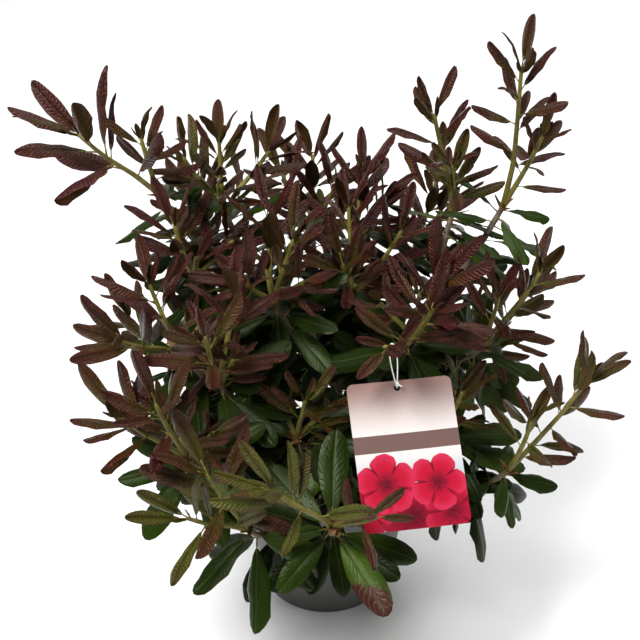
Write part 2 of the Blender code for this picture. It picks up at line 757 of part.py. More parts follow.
def main():
    for thing in list(bpy.data.objects):
        bpy.data.objects.remove(thing)
    plant = collection_named("potted_rhododendron")
    guides = collection_named("cutters_and_guides")
    work = bpy.data.collections.new("mass_in_work")
    finishes = {
        "pot": finish("pot_plastic", (0.055, 0.057, 0.052), 0.5),
        "soil": finish("potting_soil", (0.030, 0.020, 0.013), 0.95),
        "bark": finish("bark", (0.150, 0.095, 0.055), 0.8),
        "shoot": finish("new_shoot", (0.260, 0.220, 0.080), 0.6),
        "young_leaf": finish("young_leaf", (0.085, 0.022, 0.022), 0.4),
        "mature_leaf": finish("mature_leaf", (0.025, 0.065, 0.018), 0.4),
        "label": finish("label_card", (0.620, 0.570, 0.540), 0.35),
        "string": finish("label_string", (0.850, 0.850, 0.830), 0.5),
    }
    trunk_section = section_curve("trunk_section", TRUNK_SIDES, guides)
    bough_section = section_curve("bough_section", BOUGH_SIDES, guides)
    twig_section = section_curve("twig_section", TWIG_SIDES, guides)
    string_section = section_curve("string_section", STRING_SIDES, guides)
    space = Space()

    def keep(piece):
        """Marks a solid's room as taken."""
        points, tree = object_tree(piece)
        space.add(piece.name, points, tree)
        return tree

    keep(make_pot(plant, finishes["pot"]))
    keep(make_soil(plant, finishes["soil"]))
    paths = {"trunk": trunk_path()}
    limbs = [keep(make_trunk(paths["trunk"], trunk_section, plant, finishes["bark"]))]
    waiting = list(MASSES)
    while waiting:
        for mass in [mass for mass in waiting if mass.parent in paths]:
            paths[mass.name] = mass_path(mass, paths[mass.parent])
            bough = make_bough(mass, paths[mass.name], limbs, bough_section, plant, finishes["bark"])
            limbs.append(keep(bough))
            waiting.remove(mass)

    twigs_of = {}
    for mass in MASSES:
        path = paths[mass.name]
        twigs = [(make_stem(mass, path, twig_section, plant, finishes["bark"]), path)]
        for index, shoot in enumerate(mass.shoots):
            way = shoot_path(mass, shoot, path)
            twig = make_shoot(mass, index, way, path.axis(1.0), twig_section, plant, finishes["shoot"])
            twigs.append((twig, way))
        for twig, _ in twigs:
            points, tree = object_tree(twig)
            space.add(twig.name, points, tree)
            space.add_blade(twig.name, points, tree)
        twigs_of[mass.name] = twigs

    carrier, carrier_shoot = LABEL_SHOOT
    carrying = twigs_of[carrier][carrier_shoot + 1][1]
    keep(make_label(plant, finishes["label"]))
    keep(make_label_string(carrying, string_section, plant, finishes["string"]))
    view = label_view_points()
    space.add("foliage_front_centre", view, hull_tree(view))
    for mass in MASSES:
        make_foliage(mass, twigs_of[mass.name], space, work, plant, finishes)
    bpy.data.collections.remove(work)
    for outline in list(guides.objects):
        bpy.data.objects.remove(outline)


main()
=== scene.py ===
"""The potted rhododendron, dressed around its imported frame.

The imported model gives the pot, the soil, the limbs, the label and the room that each mass of
foliage keeps. Every mass is grown again here by the rule that its solid grew by, with finer leaf
shapes, leaf stalks, bud scales and small side shoots. Units are metres, +Z is up and the front of
the plant faces -Y.
"""

import json
import logging
import math
import random
from dataclasses import dataclass, replace
from enum import Enum
from typing import Callable, Iterator, Sequence, Union

import bmesh
import bpy
import numpy as np
from mathutils import Matrix, Vector
from mathutils.kdtree import KDTree

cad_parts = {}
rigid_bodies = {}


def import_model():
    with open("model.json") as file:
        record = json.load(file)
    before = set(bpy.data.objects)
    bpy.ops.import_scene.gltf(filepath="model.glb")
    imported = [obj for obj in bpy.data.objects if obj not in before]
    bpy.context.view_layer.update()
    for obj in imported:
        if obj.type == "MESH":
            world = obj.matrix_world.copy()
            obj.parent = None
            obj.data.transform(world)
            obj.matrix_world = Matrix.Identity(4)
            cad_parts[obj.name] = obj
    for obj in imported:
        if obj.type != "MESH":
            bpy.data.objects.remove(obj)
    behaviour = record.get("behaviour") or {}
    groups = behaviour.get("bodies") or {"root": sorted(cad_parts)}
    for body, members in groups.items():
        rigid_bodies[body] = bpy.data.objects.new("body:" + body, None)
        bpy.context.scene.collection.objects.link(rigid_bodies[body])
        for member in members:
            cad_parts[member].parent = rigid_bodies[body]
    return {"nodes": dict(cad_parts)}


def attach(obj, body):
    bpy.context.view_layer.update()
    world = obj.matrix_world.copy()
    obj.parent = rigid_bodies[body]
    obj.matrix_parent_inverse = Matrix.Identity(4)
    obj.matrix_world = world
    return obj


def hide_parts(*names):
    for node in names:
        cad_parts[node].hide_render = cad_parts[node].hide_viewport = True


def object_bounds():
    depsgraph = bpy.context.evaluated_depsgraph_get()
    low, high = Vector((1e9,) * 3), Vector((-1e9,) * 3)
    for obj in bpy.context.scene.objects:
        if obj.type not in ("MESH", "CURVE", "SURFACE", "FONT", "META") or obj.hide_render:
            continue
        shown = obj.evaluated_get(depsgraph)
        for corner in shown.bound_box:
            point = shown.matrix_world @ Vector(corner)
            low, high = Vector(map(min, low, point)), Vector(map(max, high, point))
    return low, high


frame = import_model()
CAD_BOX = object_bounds()
BODY = "root"
log = logging.getLogger("rhododendron")

# The pot and the soil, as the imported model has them
POT_HEIGHT = 0.165
POT_FOOT_RADIUS = 0.072
POT_RIM_RADIUS = 0.1005
POT_WALL = 0.0018
BAND_DEPTH = 0.0035
BAND_FOOT = POT_HEIGHT - 0.014
POT_SLOPE = (POT_RIM_RADIUS - BAND_DEPTH - POT_FOOT_RADIUS) / BAND_FOOT
SOIL_LEVEL = 0.148
CLEARANCE = 0.0003

# The rule that the limbs grow by
UP = Vector((0.0, 0.0, 1.0))
TRUNK_TOP = Vector((0.003, 0.004, 0.212))
TRUNK_FOOT_RADIUS = 0.0125
TRUNK_TOP_RADIUS = 0.0085
TRUNK_STEPS = 4
BOUGH_STEPS = 7
SHOOT_STEPS = 3
PARENT_PULL = 0.3
OUTWARD_PUSH = 0.5
OUTWARD_LEAN = 0.55
BOUGH_BEND = 0.36
SHOOT_BEND = 0.33
SHOOT_RISE = 0.35

# The rule that the leaves grow by, with angles in degrees
GOLDEN_ANGLE = math.radians(137.5)
FIRST_LEAF, LEAF_SPAN, CROWDING = 0.30, 0.69, 0.8
SHOOT_SPREAD, SHOOT_CLOSING, SHOOT_PLAY = 66, 44, 7
SHOOT_LENGTHS = (0.88, 1.1)
RING_TOP, RING_BOTTOM = 0.003, 0.028
RING_SPREAD, RING_OPENING, RING_PLAY = 68, 26, 8
RING_LENGTHS = (0.8, 1.08)
ERECT_LEAF = 0.96
NUDGES = ((0, 0), (16, 0), (-16, 0), (32, 4), (-32, 4), (0, -12), (50, 0), (-50, 0), (24, -14), (-24, -14))
TIP_TOLERANCE = 0.0002

# The tones of single leaves, with painted shade that darkens the mature leaves towards the crown's middle,
# and the leaf that hangs withered over the pot
PAINTED_SHADE_RADIUS = 0.20
RING_TONES = (-0.05, 0.25)
TONE_SPREAD = (-0.12, 0.36)
HANGING_BEARING, HANGING_LEAN = -62.0, 130.0


class Tone(Enum):
    """How far a spray's young leaves have turned from wine red towards green, from 0 to 1."""

    WINE = 0.05
    MAROON = 0.28
    BRONZE = 0.55
    OLIVE = 0.9


class Kind(Enum):
    """The two kinds of leaf, with their drop over their length and their droop from the twig."""

    YOUNG = (0.07, 0.05)
    MATURE = (0.11, 0.25)

    @property
    def arch(self) -> float:
        """How far the tip drops, as a share of the length."""
        return self.value[0]

    @property
    def sag(self) -> float:
        """How strongly the leaf's own weight turns it down."""
        return self.value[1]


class Side(Enum):
    """The four sides of the plant, by the bearing of a mass's node, that split its foliage into pieces."""

    FRONT = -90
    RIGHT = 0
    BACK = 90
    LEFT = 180


@dataclass(frozen=True)
class Shoot:
    """One new shoot: the way it grows from its twig, in degrees, its length, its leaves and their tone."""

    bearing: float
    lean: float
    length: float
    leaves: int
    leaf_length: float = 0.074
    tone: Tone = Tone.WINE


@dataclass(frozen=True)
class Mass:
    """One mass of foliage: where its bough springs from, and the node its leaves and shoots spread from."""

    name: str
    parent: str
    along: float
    node: tuple[float, float, float]
    foot_radius: float
    ring_leaves: int
    ring_length: float
    ring_turn: float
    shoots: tuple[Shoot, ...]
    airy: bool = False

    @property
    def side(self) -> Side:
        """The side of the plant that the mass is on."""
        bearing = math.degrees(math.atan2(self.node[1], self.node[0]))
        return min(Side, key=lambda side: abs((bearing - side.value + 180) % 360 - 180))


WINE, MAROON, BRONZE, OLIVE = Tone.WINE, Tone.MAROON, Tone.BRONZE, Tone.OLIVE
MASSES = (
    Mass("front_centre", "trunk", 0.55, (0.005, -0.235, 0.272), 0.0052, 6, 0.092, 165, (
        Shoot(-147, 41, 0.098, 8, tone=OLIVE), Shoot(-46, 50, 0.072, 6, 0.054, BRONZE)), airy=True),
    Mass("crown_right", "crown_centre", 0.40, (0.084, -0.070, 0.372), 0.0042, 8, 0.088, -130, (
        Shoot(-110, 62, 0.105, 6, 0.062, MAROON), Shoot(-28, 17, 0.073, 7, 0.082, WINE),
        Shoot(-70, 36, 0.075, 6, 0.068, WINE))),
    Mass("left_front", "left_outer", 0.42, (-0.133, -0.170, 0.300), 0.0040, 8, 0.086, -170, (
        Shoot(-170, 46, 0.086, 7, 0.072, MAROON), Shoot(-125, 24, 0.097, 7, 0.068, MAROON))),
    Mass("front_left", "front_centre", 0.36, (-0.075, -0.195, 0.232), 0.0040, 6, 0.094, -147, (
        Shoot(-132, 27, 0.112, 7, 0.078, BRONZE), Shoot(-140, 52, 0.090, 5, 0.074, OLIVE)), airy=True),
    Mass("left_outer", "trunk", 0.56, (-0.142, -0.080, 0.360), 0.0058, 6, 0.084, 20, (
        Shoot(175, 20, 0.084, 8, 0.070, WINE), Shoot(-132, 55, 0.092, 8, 0.072, MAROON))),
    Mass("left_inner", "left_outer", 0.50, (-0.104, -0.112, 0.345), 0.0038, 7, 0.086, -100, (
        Shoot(10, 10, 0.100, 8, 0.068, WINE), Shoot(-100, 28, 0.098, 6, 0.068, MAROON))),
    Mass("right_front", "trunk", 0.45, (0.186, -0.100, 0.228), 0.0056, 8, 0.066, -115, (
        Shoot(-4, 30, 0.145, 11, 0.066, BRONZE), Shoot(-62, 20, 0.094, 6, 0.062, BRONZE)), airy=True),
    Mass("right_outer", "top_right_tall", 0.36, (0.162, 0.000, 0.314), 0.0044, 8, 0.084, -10, (
        Shoot(0, 31, 0.109, 8, 0.066, MAROON), Shoot(-60, 18, 0.080, 6, 0.062, MAROON)), airy=True),
    Mass("left_upper", "upper_left_inner", 0.50, (-0.134, 0.004, 0.392), 0.0040, 8, 0.086, 165, (
        Shoot(180, 16, 0.068, 7, 0.066, MAROON), Shoot(0, 38, 0.064, 6, 0.062, WINE))),
    Mass("upper_left_outer", "upper_left_inner", 0.62, (-0.170, 0.050, 0.468), 0.0038, 5, 0.080, -60, (
        Shoot(-163, 44, 0.112, 8, 0.096, WINE), Shoot(-150, 14, 0.070, 6, 0.058, MAROON)), airy=True),
    Mass("upper_left_inner", "trunk", 0.70, (-0.105, 0.064, 0.438), 0.0060, 8, 0.092, 160, (
        Shoot(178, 32, 0.078, 6, 0.062, BRONZE), Shoot(125, 6, 0.080, 8, 0.064, BRONZE),
        Shoot(30, 40, 0.080, 8, 0.068, WINE))),
    Mass("crown_left", "crown_centre", 0.32, (-0.052, -0.040, 0.392), 0.0040, 9, 0.090, -80, (
        Shoot(100, 24, 0.090, 7, 0.068, WINE), Shoot(10, 14, 0.076, 7, 0.066, MAROON),
        Shoot(-130, 42, 0.074, 6, 0.066, WINE))),
    Mass("crown_centre", "trunk", 1.0, (0.022, 0.004, 0.364), 0.0056, 9, 0.090, -70, (
        Shoot(-101, 26, 0.078, 7, 0.066, MAROON), Shoot(90, 12, 0.106, 8, 0.066, WINE),
        Shoot(-4, 30, 0.106, 7, 0.068, WINE))),
    Mass("top_right_inner", "top_right_tall", 0.50, (0.132, 0.074, 0.432), 0.0042, 7, 0.090, 25, (
        Shoot(196, 12, 0.122, 9, 0.062, MAROON), Shoot(-100, 26, 0.084, 6, 0.062, BRONZE)), airy=True),
    Mass("top_right_tall", "trunk", 0.70, (0.184, 0.070, 0.444), 0.0064, 7, 0.086, 25, (
        Shoot(-79, 8, 0.168, 12, 0.058, MAROON), Shoot(-30, 22, 0.098, 7, 0.054, MAROON)), airy=True),
    Mass("front_inner", "trunk", 0.80, (-0.030, -0.105, 0.275), 0.0044, 11, 0.094, -95, (
        Shoot(-60, 16, 0.060, 5, 0.060, BRONZE),)),
    Mass("right_inner", "right_front", 0.50, (0.118, -0.080, 0.262), 0.0038, 11, 0.092, -30, (
        Shoot(-20, 18, 0.060, 5, 0.060, BRONZE),)),
    Mass("left_low", "upper_left_inner", 0.26, (-0.165, 0.040, 0.262), 0.0040, 8, 0.088, 190, (
        Shoot(170, 40, 0.080, 7, 0.066, BRONZE),)),
    Mass("back_centre", "trunk", 0.60, (-0.015, 0.150, 0.362), 0.0058, 7, 0.090, 130, (
        Shoot(90, 30, 0.092, 8, 0.068, WINE), Shoot(170, 24, 0.084, 7, 0.066, MAROON),
        Shoot(-10, 20, 0.080, 6, 0.066, WINE))),
    Mass("back_left", "back_centre", 0.34, (-0.118, 0.160, 0.318), 0.0042, 8, 0.090, 130, (
        Shoot(120, 36, 0.092, 8, 0.070, MAROON), Shoot(175, 24, 0.084, 7, 0.068, WINE))),
    Mass("back_low", "back_centre", 0.44, (0.015, 0.205, 0.240), 0.0042, 9, 0.090, 90, (
        Shoot(110, 46, 0.090, 7, 0.070, OLIVE), Shoot(60, 26, 0.084, 7, 0.068, BRONZE))),
    Mass("back_right", "top_right_tall", 0.30, (0.100, 0.158, 0.330), 0.0044, 8, 0.090, 60, (
        Shoot(60, 34, 0.092, 8, 0.070, MAROON), Shoot(10, 26, 0.080, 7, 0.068, WINE))),
    Mass("right_low", "right_outer", 0.36, (0.176, 0.082, 0.248), 0.0038, 8, 0.088, 40, (
        Shoot(30, 42, 0.090, 7, 0.068, BRONZE),)),
    Mass("crown_back", "crown_centre", 0.55, (0.030, 0.082, 0.392), 0.0038, 7, 0.088, 80, (
        Shoot(70, 18, 0.078, 7, 0.066, WINE), Shoot(-20, 26, 0.070, 5, 0.062, WINE))),
)


# Node wiring

Socket = bpy.types.NodeSocket
Colour = tuple[float, float, float]
Feed = Union["Signal", Socket, float, Colour]


class Signal:
    """A value on its way through a node tree, whose arithmetic adds Math nodes."""

    def __init__(self, wiring: "Wiring", socket: Socket) -> None:
        """Takes the wiring, and the socket that holds the value."""
        self.wiring = wiring
        self.socket = socket

    def math(self, operation: str, *others: Feed) -> "Signal":
        """The result of a Math node that starts with this value."""
        return self.wiring.math(operation, self, *others)

    def fade(self, start: float, end: float) -> "Signal":
        """A smooth step of the value, from 0 at start to 1 at end."""
        feeds = {"Value": self, "From Min": start, "From Max": end}
        return self.wiring.signal("ShaderNodeMapRange", "Result", feeds, interpolation_type="SMOOTHSTEP")

    def __add__(self, other: Feed) -> "Signal":
        """The sum."""
        return self.math("ADD", other)

    def __sub__(self, other: Feed) -> "Signal":
        """The difference."""
        return self.math("SUBTRACT", other)

    def __rsub__(self, other: float) -> "Signal":
        """What the value leaves of a number."""
        return self.wiring.math("SUBTRACT", other, self)

    def __mul__(self, other: Feed) -> "Signal":
        """The product."""
        return self.math("MULTIPLY", other)

    def __truediv__(self, other: Feed) -> "Signal":
        """The quotient."""
        return self.math("DIVIDE", other)

    def __pow__(self, other: float) -> "Signal":
        """The power."""
        return self.math("POWER", other)

    def __abs__(self) -> "Signal":
        """The size without the sign."""
        return self.math("ABSOLUTE")


class Wiring:
    """Adds nodes to one node tree and joins them."""

    def __init__(self, tree: bpy.types.NodeTree) -> None:
        """Takes the tree to be wired."""
        self.tree = tree

    def add(self, kind: str, feeds: dict | None = None, **settings) -> bpy.types.Node:
        """Adds a node.

        Args:
            kind: the node's type name.
            feeds: by input name or index, a signal or socket to link or a value to set.
            settings: the node's own properties.

        Returns:
            The new node.
        """
        node = self.tree.nodes.new(kind)
        for name, value in settings.items():
            setattr(node, name, value)
        for name, value in (feeds or {}).items():
            self.feed(node.inputs[name], value)
        return node

    def signal(self, kind: str, output: str | int, feeds: dict | None = None, **settings) -> Signal:
        """One output of a new node."""
        return Signal(self, self.add(kind, feeds, **settings).outputs[output])

    def feed(self, target: Socket, value: Feed) -> None:
        """Feeds an input.

        Args:
            target: the input.
            value: a signal or socket to link, or a value to set.
        """
        source = value.socket if isinstance(value, Signal) else value
        if isinstance(source, bpy.types.NodeSocket):
            self.tree.links.new(source, target)
        else:
            target.default_value = (*source, 1.0) if target.type == "RGBA" else source

    def math(self, operation: str, *values: Feed) -> Signal:
        """A Math node's result."""
        return self.signal("ShaderNodeMath", 0, dict(enumerate(values)), operation=operation)

    def mix(self, share: Feed, first: Feed, second: Feed) -> Signal:
        """A colour mixed from two by a share."""
        return self.signal("ShaderNodeMix", 2, {0: share, 6: first, 7: second}, data_type="RGBA")

    def noise(self, vector: Feed, scale: Feed, detail: float = 3.0, distortion: float = 0.0) -> Signal:
        """A noise texture's value."""
        feeds = {"Vector": vector, "Scale": scale, "Detail": detail, "Distortion": distortion}
        return self.signal("ShaderNodeTexNoise", "Fac", feeds)

    def split(self, vector: Socket) -> tuple[Signal, Signal]:
        """A vector's X and Y."""
        parts = self.add("ShaderNodeSeparateXYZ", {0: vector}).outputs
        return Signal(self, parts["X"]), Signal(self, parts["Y"])

    def group(self, tree: bpy.types.NodeTree, **feeds: Feed) -> dict[str, Signal]:
        """The outputs, by name, of a shared group that is fed by name."""
        outputs = self.add("ShaderNodeGroup", feeds, node_tree=tree).outputs
        return {socket.name: Signal(self, socket) for socket in outputs}

    def ramp(self, share: Signal, stops: Sequence[tuple[float, Colour]]) -> Signal:
        """Reads a colour from a row of stops.

        Args:
            share: the place in the row.
            stops: each stop's place and colour.

        Returns:
            The colour.
        """
        node = self.add("ShaderNodeValToRGB", {"Fac": share})
        elements = node.color_ramp.elements
        elements.remove(elements[1])
        elements[0].position = stops[0][0]
        elements[0].color = (*stops[0][1], 1.0)
        for place, colour in stops[1:]:
            elements.new(place).color = (*colour, 1.0)
        return Signal(self, node.outputs["Color"])


class EffectGroup(Wiring):
    """A shader node group that makes masks from a place and a few numbers."""

    def __init__(self, name: str, **numbers: float) -> None:
        """Starts the group.

        Args:
            name: the group's name.
            numbers: its number inputs and their defaults.
        """
        super().__init__(bpy.data.node_groups.new(name, "ShaderNodeTree"))
        self.tree.interface.new_socket("Place", in_out="INPUT", socket_type="NodeSocketVector")
        for title, default in numbers.items():
            socket = self.tree.interface.new_socket(title, in_out="INPUT", socket_type="NodeSocketFloat")
            socket.default_value = default
        given = self.add("NodeGroupInput").outputs
        self.place = given["Place"]
        self.given = {title: Signal(self, given[title]) for title in numbers}

    def give(self, **masks: Signal) -> bpy.types.NodeTree:
        """Ends the group.

        Args:
            masks: its outputs by name.

        Returns:
            The finished group.
        """
        for title in masks:
            self.tree.interface.new_socket(title, in_out="OUTPUT", socket_type="NodeSocketFloat")
        self.add("NodeGroupOutput", masks)
        return self.tree


class Effects:
    """The shader groups that several finishes share."""

    def __init__(self) -> None:
        """Builds each group once."""
        self.veins = self._veins()
        self.mottle = self._mottle()
        self.blossom = self._blossom()

    @staticmethod
    def _veins() -> bpy.types.NodeTree:
        """Wires the veins of a leaf over its UV place.

        Returns:
            A group that gives masks of the midrib, the side veins and the margin, the light on the
            swellings between the veins, and the height of the surface.
        """
        group = EffectGroup("leaf_veins", Seed=0.0, Count=13.0, Slant=2.2, Unrest=1.6, Pillow=1.0)
        given = group.given
        aside, up = group.split(group.place)
        centred = aside * 2.0 - 1.0
        across = abs(centred)
        own_place = group.signal("ShaderNodeCombineXYZ", 0, {0: centred, 1: up, 2: given["Seed"]})
        stir = (group.noise(own_place, 3.5) - 0.5) * given["Unrest"]
        crinkle = group.noise(own_place, 11.0, 2.0, 0.8)
        phase = up * given["Count"] - across * given["Slant"] + stir + centred.math("SIGN") * 0.22
        wave = abs((phase * math.pi).math("SINE"))
        swell = crinkle * 0.8 + wave**0.6 * across.fade(0.02, 0.3) * 0.6
        bulge = across * (1.0 - across * 0.55)
        return group.give(
            Midrib=1.0 - across.fade(0.02, 0.085),
            Vein=(1.0 - wave.fade(0.05, 0.42)) * (1.0 - across.fade(0.75, 0.98)),
            Margin=across.fade(0.72, 1.0),
            Light=swell.fade(0.25, 0.95),
            Swell=swell + bulge * given["Pillow"],
        )

    @staticmethod
    def _mottle() -> bpy.types.NodeTree:
        """A group that gives a slow drift and a fine grain over a surface, both around one half.

        Returns:
            The group.
        """
        group = EffectGroup("mottle", DriftScale=30.0, GrainScale=900.0)
        drift, grain = group.given.values()
        return group.give(Drift=group.noise(group.place, drift), Grain=group.noise(group.place, grain, 2.0))

    @staticmethod
    def _blossom() -> bpy.types.NodeTree:
        """Wires a flat five-petalled blossom for a card.

        Returns:
            A group that gives the blossom's shape, its shade from throat to rim, and its specked throat.
        """
        group = EffectGroup("blossom", Aside=0.0, Above=0.0, Radius=0.2, Turn=0.0)
        given = group.given
        x, y = group.split(group.place)
        aside, above = x - given["Aside"], y - given["Above"]
        reach = (above * above + aside * aside).math("SQRT") / given["Radius"]
        bearing = above.math("ARCTAN2", aside) + given["Turn"]
        lobes = abs((bearing * 2.5).math("COSINE"))
        frill = group.noise(group.place, 9.0, 2.0) * 0.16 - 0.08
        inside = reach / (lobes**0.45 * 0.34 + 0.64 + frill)
        crease = lobes.fade(0.35, 0.0) * inside.fade(0.25, 0.8)
        specks = group.noise(group.place, 55.0, 1.0).fade(0.54, 0.6)
        return group.give(
            Shape=inside.fade(1.0, 0.97), Shade=inside - crease * 0.8, Throat=specks * inside.fade(0.42, 0.12)
        )


# Finishes


class Skin(Wiring):
    """A new material, wired round its Principled shader."""

    def __init__(self, name: str) -> None:
        """Makes the material.

        Args:
            name: its name.
        """
        self.material = bpy.data.materials.new(name)
        self.material.use_nodes = True
        super().__init__(self.material.node_tree)

    def position(self) -> Socket:
        """The position in Object coordinates."""
        return self.add("ShaderNodeTexCoord").outputs["Object"]

    def uv_place(self) -> Socket:
        """The place on the piece's own UV map."""
        return self.add("ShaderNodeUVMap", uv_map="UVMap").outputs["UV"]

    def attribute(self, name: str) -> Signal:
        """A float attribute's value."""
        return self.signal("ShaderNodeAttribute", "Fac", attribute_name=name)

    def mottle(self, effects: Effects, drift: float, grain: float) -> tuple[Signal, Signal]:
        """The shared mottle's drift and grain, at these scales."""
        found = self.group(effects.mottle, Place=self.position(), DriftScale=drift, GrainScale=grain)
        return found["Drift"], found["Grain"]

    def finish(self, colour: Feed, roughness: Feed, relief: tuple = (), **levels: Feed) -> bpy.types.Material:
        """Feeds the shader.

        Args:
            colour: the base colour.
            roughness: the roughness.
            relief: a height, its distance and its strength, for the normal.
            levels: plain values of other inputs, by name with underscores for spaces.

        Returns:
            The material.
        """
        feeds = {"Base Color": colour, "Roughness": roughness}
        feeds |= {title.replace("_", " "): level for title, level in levels.items()}
        if relief:
            height, distance, strength = relief
            bump = {"Height": height, "Distance": distance, "Strength": strength}
            feeds["Normal"] = self.signal("ShaderNodeBump", "Normal", bump)
        shader = self.tree.nodes["Principled BSDF"]
        for title, value in feeds.items():
            self.feed(shader.inputs[title], value)
        return self.material


@dataclass(frozen=True)
class LeafFinish:
    """A leaf's skin: its upper and lower colours by tone, its veins, painted shade in its vein furrows, its
    gloss and its withered part.
    """

    name: str
    upper: tuple[tuple[float, Colour], ...]
    lower: tuple[tuple[float, Colour], ...]
    midrib: Colour
    margin: Colour
    margin_share: float
    roughness: float
    under_roughness: float
    vein_count: float
    wrinkle: float
    midrib_share: float
    under_midrib_share: float
    gloss: float
    highlight: Colour
    ripening: float
    pillow: float
    # The painted shade in the vein furrows: how strongly it darkens the colour, and its dark colour
    furrow_shade_share: float
    furrow_shade_colour: Colour
    blotch: Colour | None = None
    blotch_vein: Colour = (0.130, 0.080, 0.055)
    vein_share: float = 0.05
    tone_drift: float = 0.35
    drift_scale: float = 42.0
    grain_scale: float = 1500.0

    def material(self, effects: Effects) -> bpy.types.Material:
        """Builds the material.

        Args:
            effects: the shared shader groups.

        Returns:
            The material, which reads the leaf's UV map and its tone, underside and blight attributes.
        """
        skin = Skin(self.name)
        place = skin.uv_place()
        side, up = skin.split(place)
        drift, grain = skin.mottle(effects, self.drift_scale, self.grain_scale)
        own_tone, under = skin.attribute("tone"), skin.attribute("underside")
        feeds = {"Count": self.vein_count, "Pillow": self.pillow, "Seed": own_tone * 90.0}
        veins = skin.group(effects.veins, Place=place, **feeds)
        tone = own_tone + (drift - 0.5) * self.tone_drift + (0.45 - up) * self.ripening
        colour = skin.mix(under, skin.ramp(tone, self.upper), skin.ramp(tone, self.lower))
        # Painted shade: the colour darkens in the vein furrows, away from the swellings between the veins
        colour = skin.mix((1.0 - veins["Light"]) * self.furrow_shade_share, colour, self.furrow_shade_colour)
        colour = skin.mix(veins["Margin"] * self.margin_share, colour, self.margin)
        pale = under * (self.under_midrib_share - self.midrib_share) + self.midrib_share
        colour = skin.mix(veins["Midrib"] * pale, colour, self.midrib)
        colour = skin.mix(veins["Vein"] * self.vein_share, colour, self.midrib)
        if self.blotch:
            reach = (side - 0.5) * 0.55 + up.fade(0.3, 0.95)
            ill = (drift - 0.5) * 1.2 + skin.attribute("blight") * reach
            withered = skin.mix(veins["Vein"] * 0.45, self.blotch, self.blotch_vein)
            colour = skin.mix(ill.fade(0.42, 0.50), colour, withered)
        dull = under * (self.under_roughness - self.roughness) + self.roughness
        roughness = dull + (grain - 0.5) * 0.16
        relief = (grain * 0.12 + veins["Swell"], self.wrinkle, 0.9)
        gleam = {"Specular_IOR_Level": self.gloss, "Specular_Tint": self.highlight}
        return skin.finish(colour, roughness, relief, **gleam)


@dataclass(frozen=True)
class StemFinish:
    """The skin of a stalk, a limb, a cord or soil: two colours, a grain, its roughness and its relief."""

    name: str
    light: Colour
    dark: Colour
    scale: float
    roughness: float
    relief: float

    def material(self, effects: Effects) -> bpy.types.Material:
        """Builds the material.

        Args:
            effects: the shared shader groups.

        Returns:
            The material, in Object coordinates.
        """
        skin = Skin(self.name)
        drift, grain = skin.mottle(effects, self.scale, self.scale * 9)
        share = grain * 0.5 + drift.fade(0.35, 0.65) * 0.6
        colour = skin.mix(share, self.dark, self.light)
        return skin.finish(colour, (grain - 0.5) * 0.2 + self.roughness, (grain + drift, self.relief, 0.8))


@dataclass(frozen=True)
class PotFinish:
    """Dark matte plastic with a fine moulded grain, faint flow marks and dusty soil stains."""

    name: str = "nursery_pot_plastic"
    plastic: Colour = (0.072, 0.075, 0.071)
    dust: Colour = (0.155, 0.135, 0.105)
    roughness: float = 0.42
    drift_scale: float = 14.0
    grain_scale: float = 1400.0

    def material(self, effects: Effects) -> bpy.types.Material:
        """Builds the material.

        Args:
            effects: the shared shader groups.

        Returns:
            The material, in Object coordinates.
        """
        skin = Skin(self.name)
        drift, grain = skin.mottle(effects, self.drift_scale, self.grain_scale)
        stain = skin.noise(skin.position(), 60.0, 6.0, 0.4).fade(0.62, 0.8)
        dusty = drift * 0.18 + stain * 0.3
        colour = skin.mix(dusty, self.plastic, self.dust)
        return skin.finish(colour, dusty * 0.7 + self.roughness, (grain, 0.00012, 0.5))


@dataclass(frozen=True)
class CardFinish:
    """The hang label's print: a taupe field that pales downwards, a brown band and blossoms below."""

    name: str = "label_print"
    taupe: Colour = (0.205, 0.122, 0.106)
    pale: Colour = (0.560, 0.515, 0.500)
    band: Colour = (0.118, 0.068, 0.060)
    sky: Colour = (0.310, 0.370, 0.390)
    petal: Colour = (0.335, 0.004, 0.022)
    petal_deep: Colour = (0.110, 0.002, 0.010)
    petal_rim: Colour = (0.400, 0.018, 0.052)
    throat: Colour = (0.040, 0.003, 0.010)
    band_low: float = 0.522
    band_high: float = 0.640
    band_edge: float = 0.002
    roughness: float = 0.3
    gloss: float = 0.2
    blossoms: tuple[tuple[float, float, float, float, float], ...] = (
        (0.50, 0.12, 0.34, 0.5, 0.45), (0.84, 0.13, 0.29, 1.3, 0.6), (0.04, 0.22, 0.30, 0.2, 0.8),
        (0.26, 0.43, 0.30, 0.9, 1.0), (0.74, 0.41, 0.28, 0.1, 1.0),
    )

    def material(self, effects: Effects, shape: float) -> bpy.types.Material:
        """Builds the material.

        Args:
            effects: the shared shader groups.
            shape: the card's height over its width, so that blossoms stay round.

        Returns:
            The material, which reads the card's own UV map.
        """
        skin = Skin(self.name)
        place = skin.uv_place()
        up = skin.split(place)[1]
        feeds = {0: place, 1: (1.0, shape, 1.0)}
        even_place = skin.signal("ShaderNodeVectorMath", "Vector", feeds, operation="MULTIPLY")
        upper = skin.mix(up.fade(1.0, 0.58), self.taupe, self.pale)
        lower = skin.mix(up.fade(0.56, 0.30), self.pale, self.sky)
        for aside, above, radius, turn, light in self.blossoms:
            bloom = skin.group(
                effects.blossom, Place=even_place, Aside=aside, Above=above, Radius=radius, Turn=turn
            )
            petals = skin.mix(bloom["Shade"].fade(0.0, 0.6) * light, self.petal_deep, self.petal)
            petals = skin.mix(bloom["Shade"].fade(0.6, 1.0) * light, petals, self.petal_rim)
            petals = skin.mix(bloom["Throat"], petals, self.throat)
            lower = skin.mix(bloom["Shape"], lower, petals)
        above_foot = up.fade(self.band_low - self.band_edge, self.band_low + self.band_edge)
        under_top = up.fade(self.band_high + self.band_edge, self.band_high - self.band_edge)
        colour = skin.mix(above_foot * under_top, skin.mix(above_foot, lower, upper), self.band)
        paper = skin.noise(even_place, 260.0, 2.0)
        roughness = (paper - 0.5) * 0.1 + self.roughness
        return skin.finish(colour, roughness, (paper, 0.00004, 0.4), Specular_IOR_Level=self.gloss)


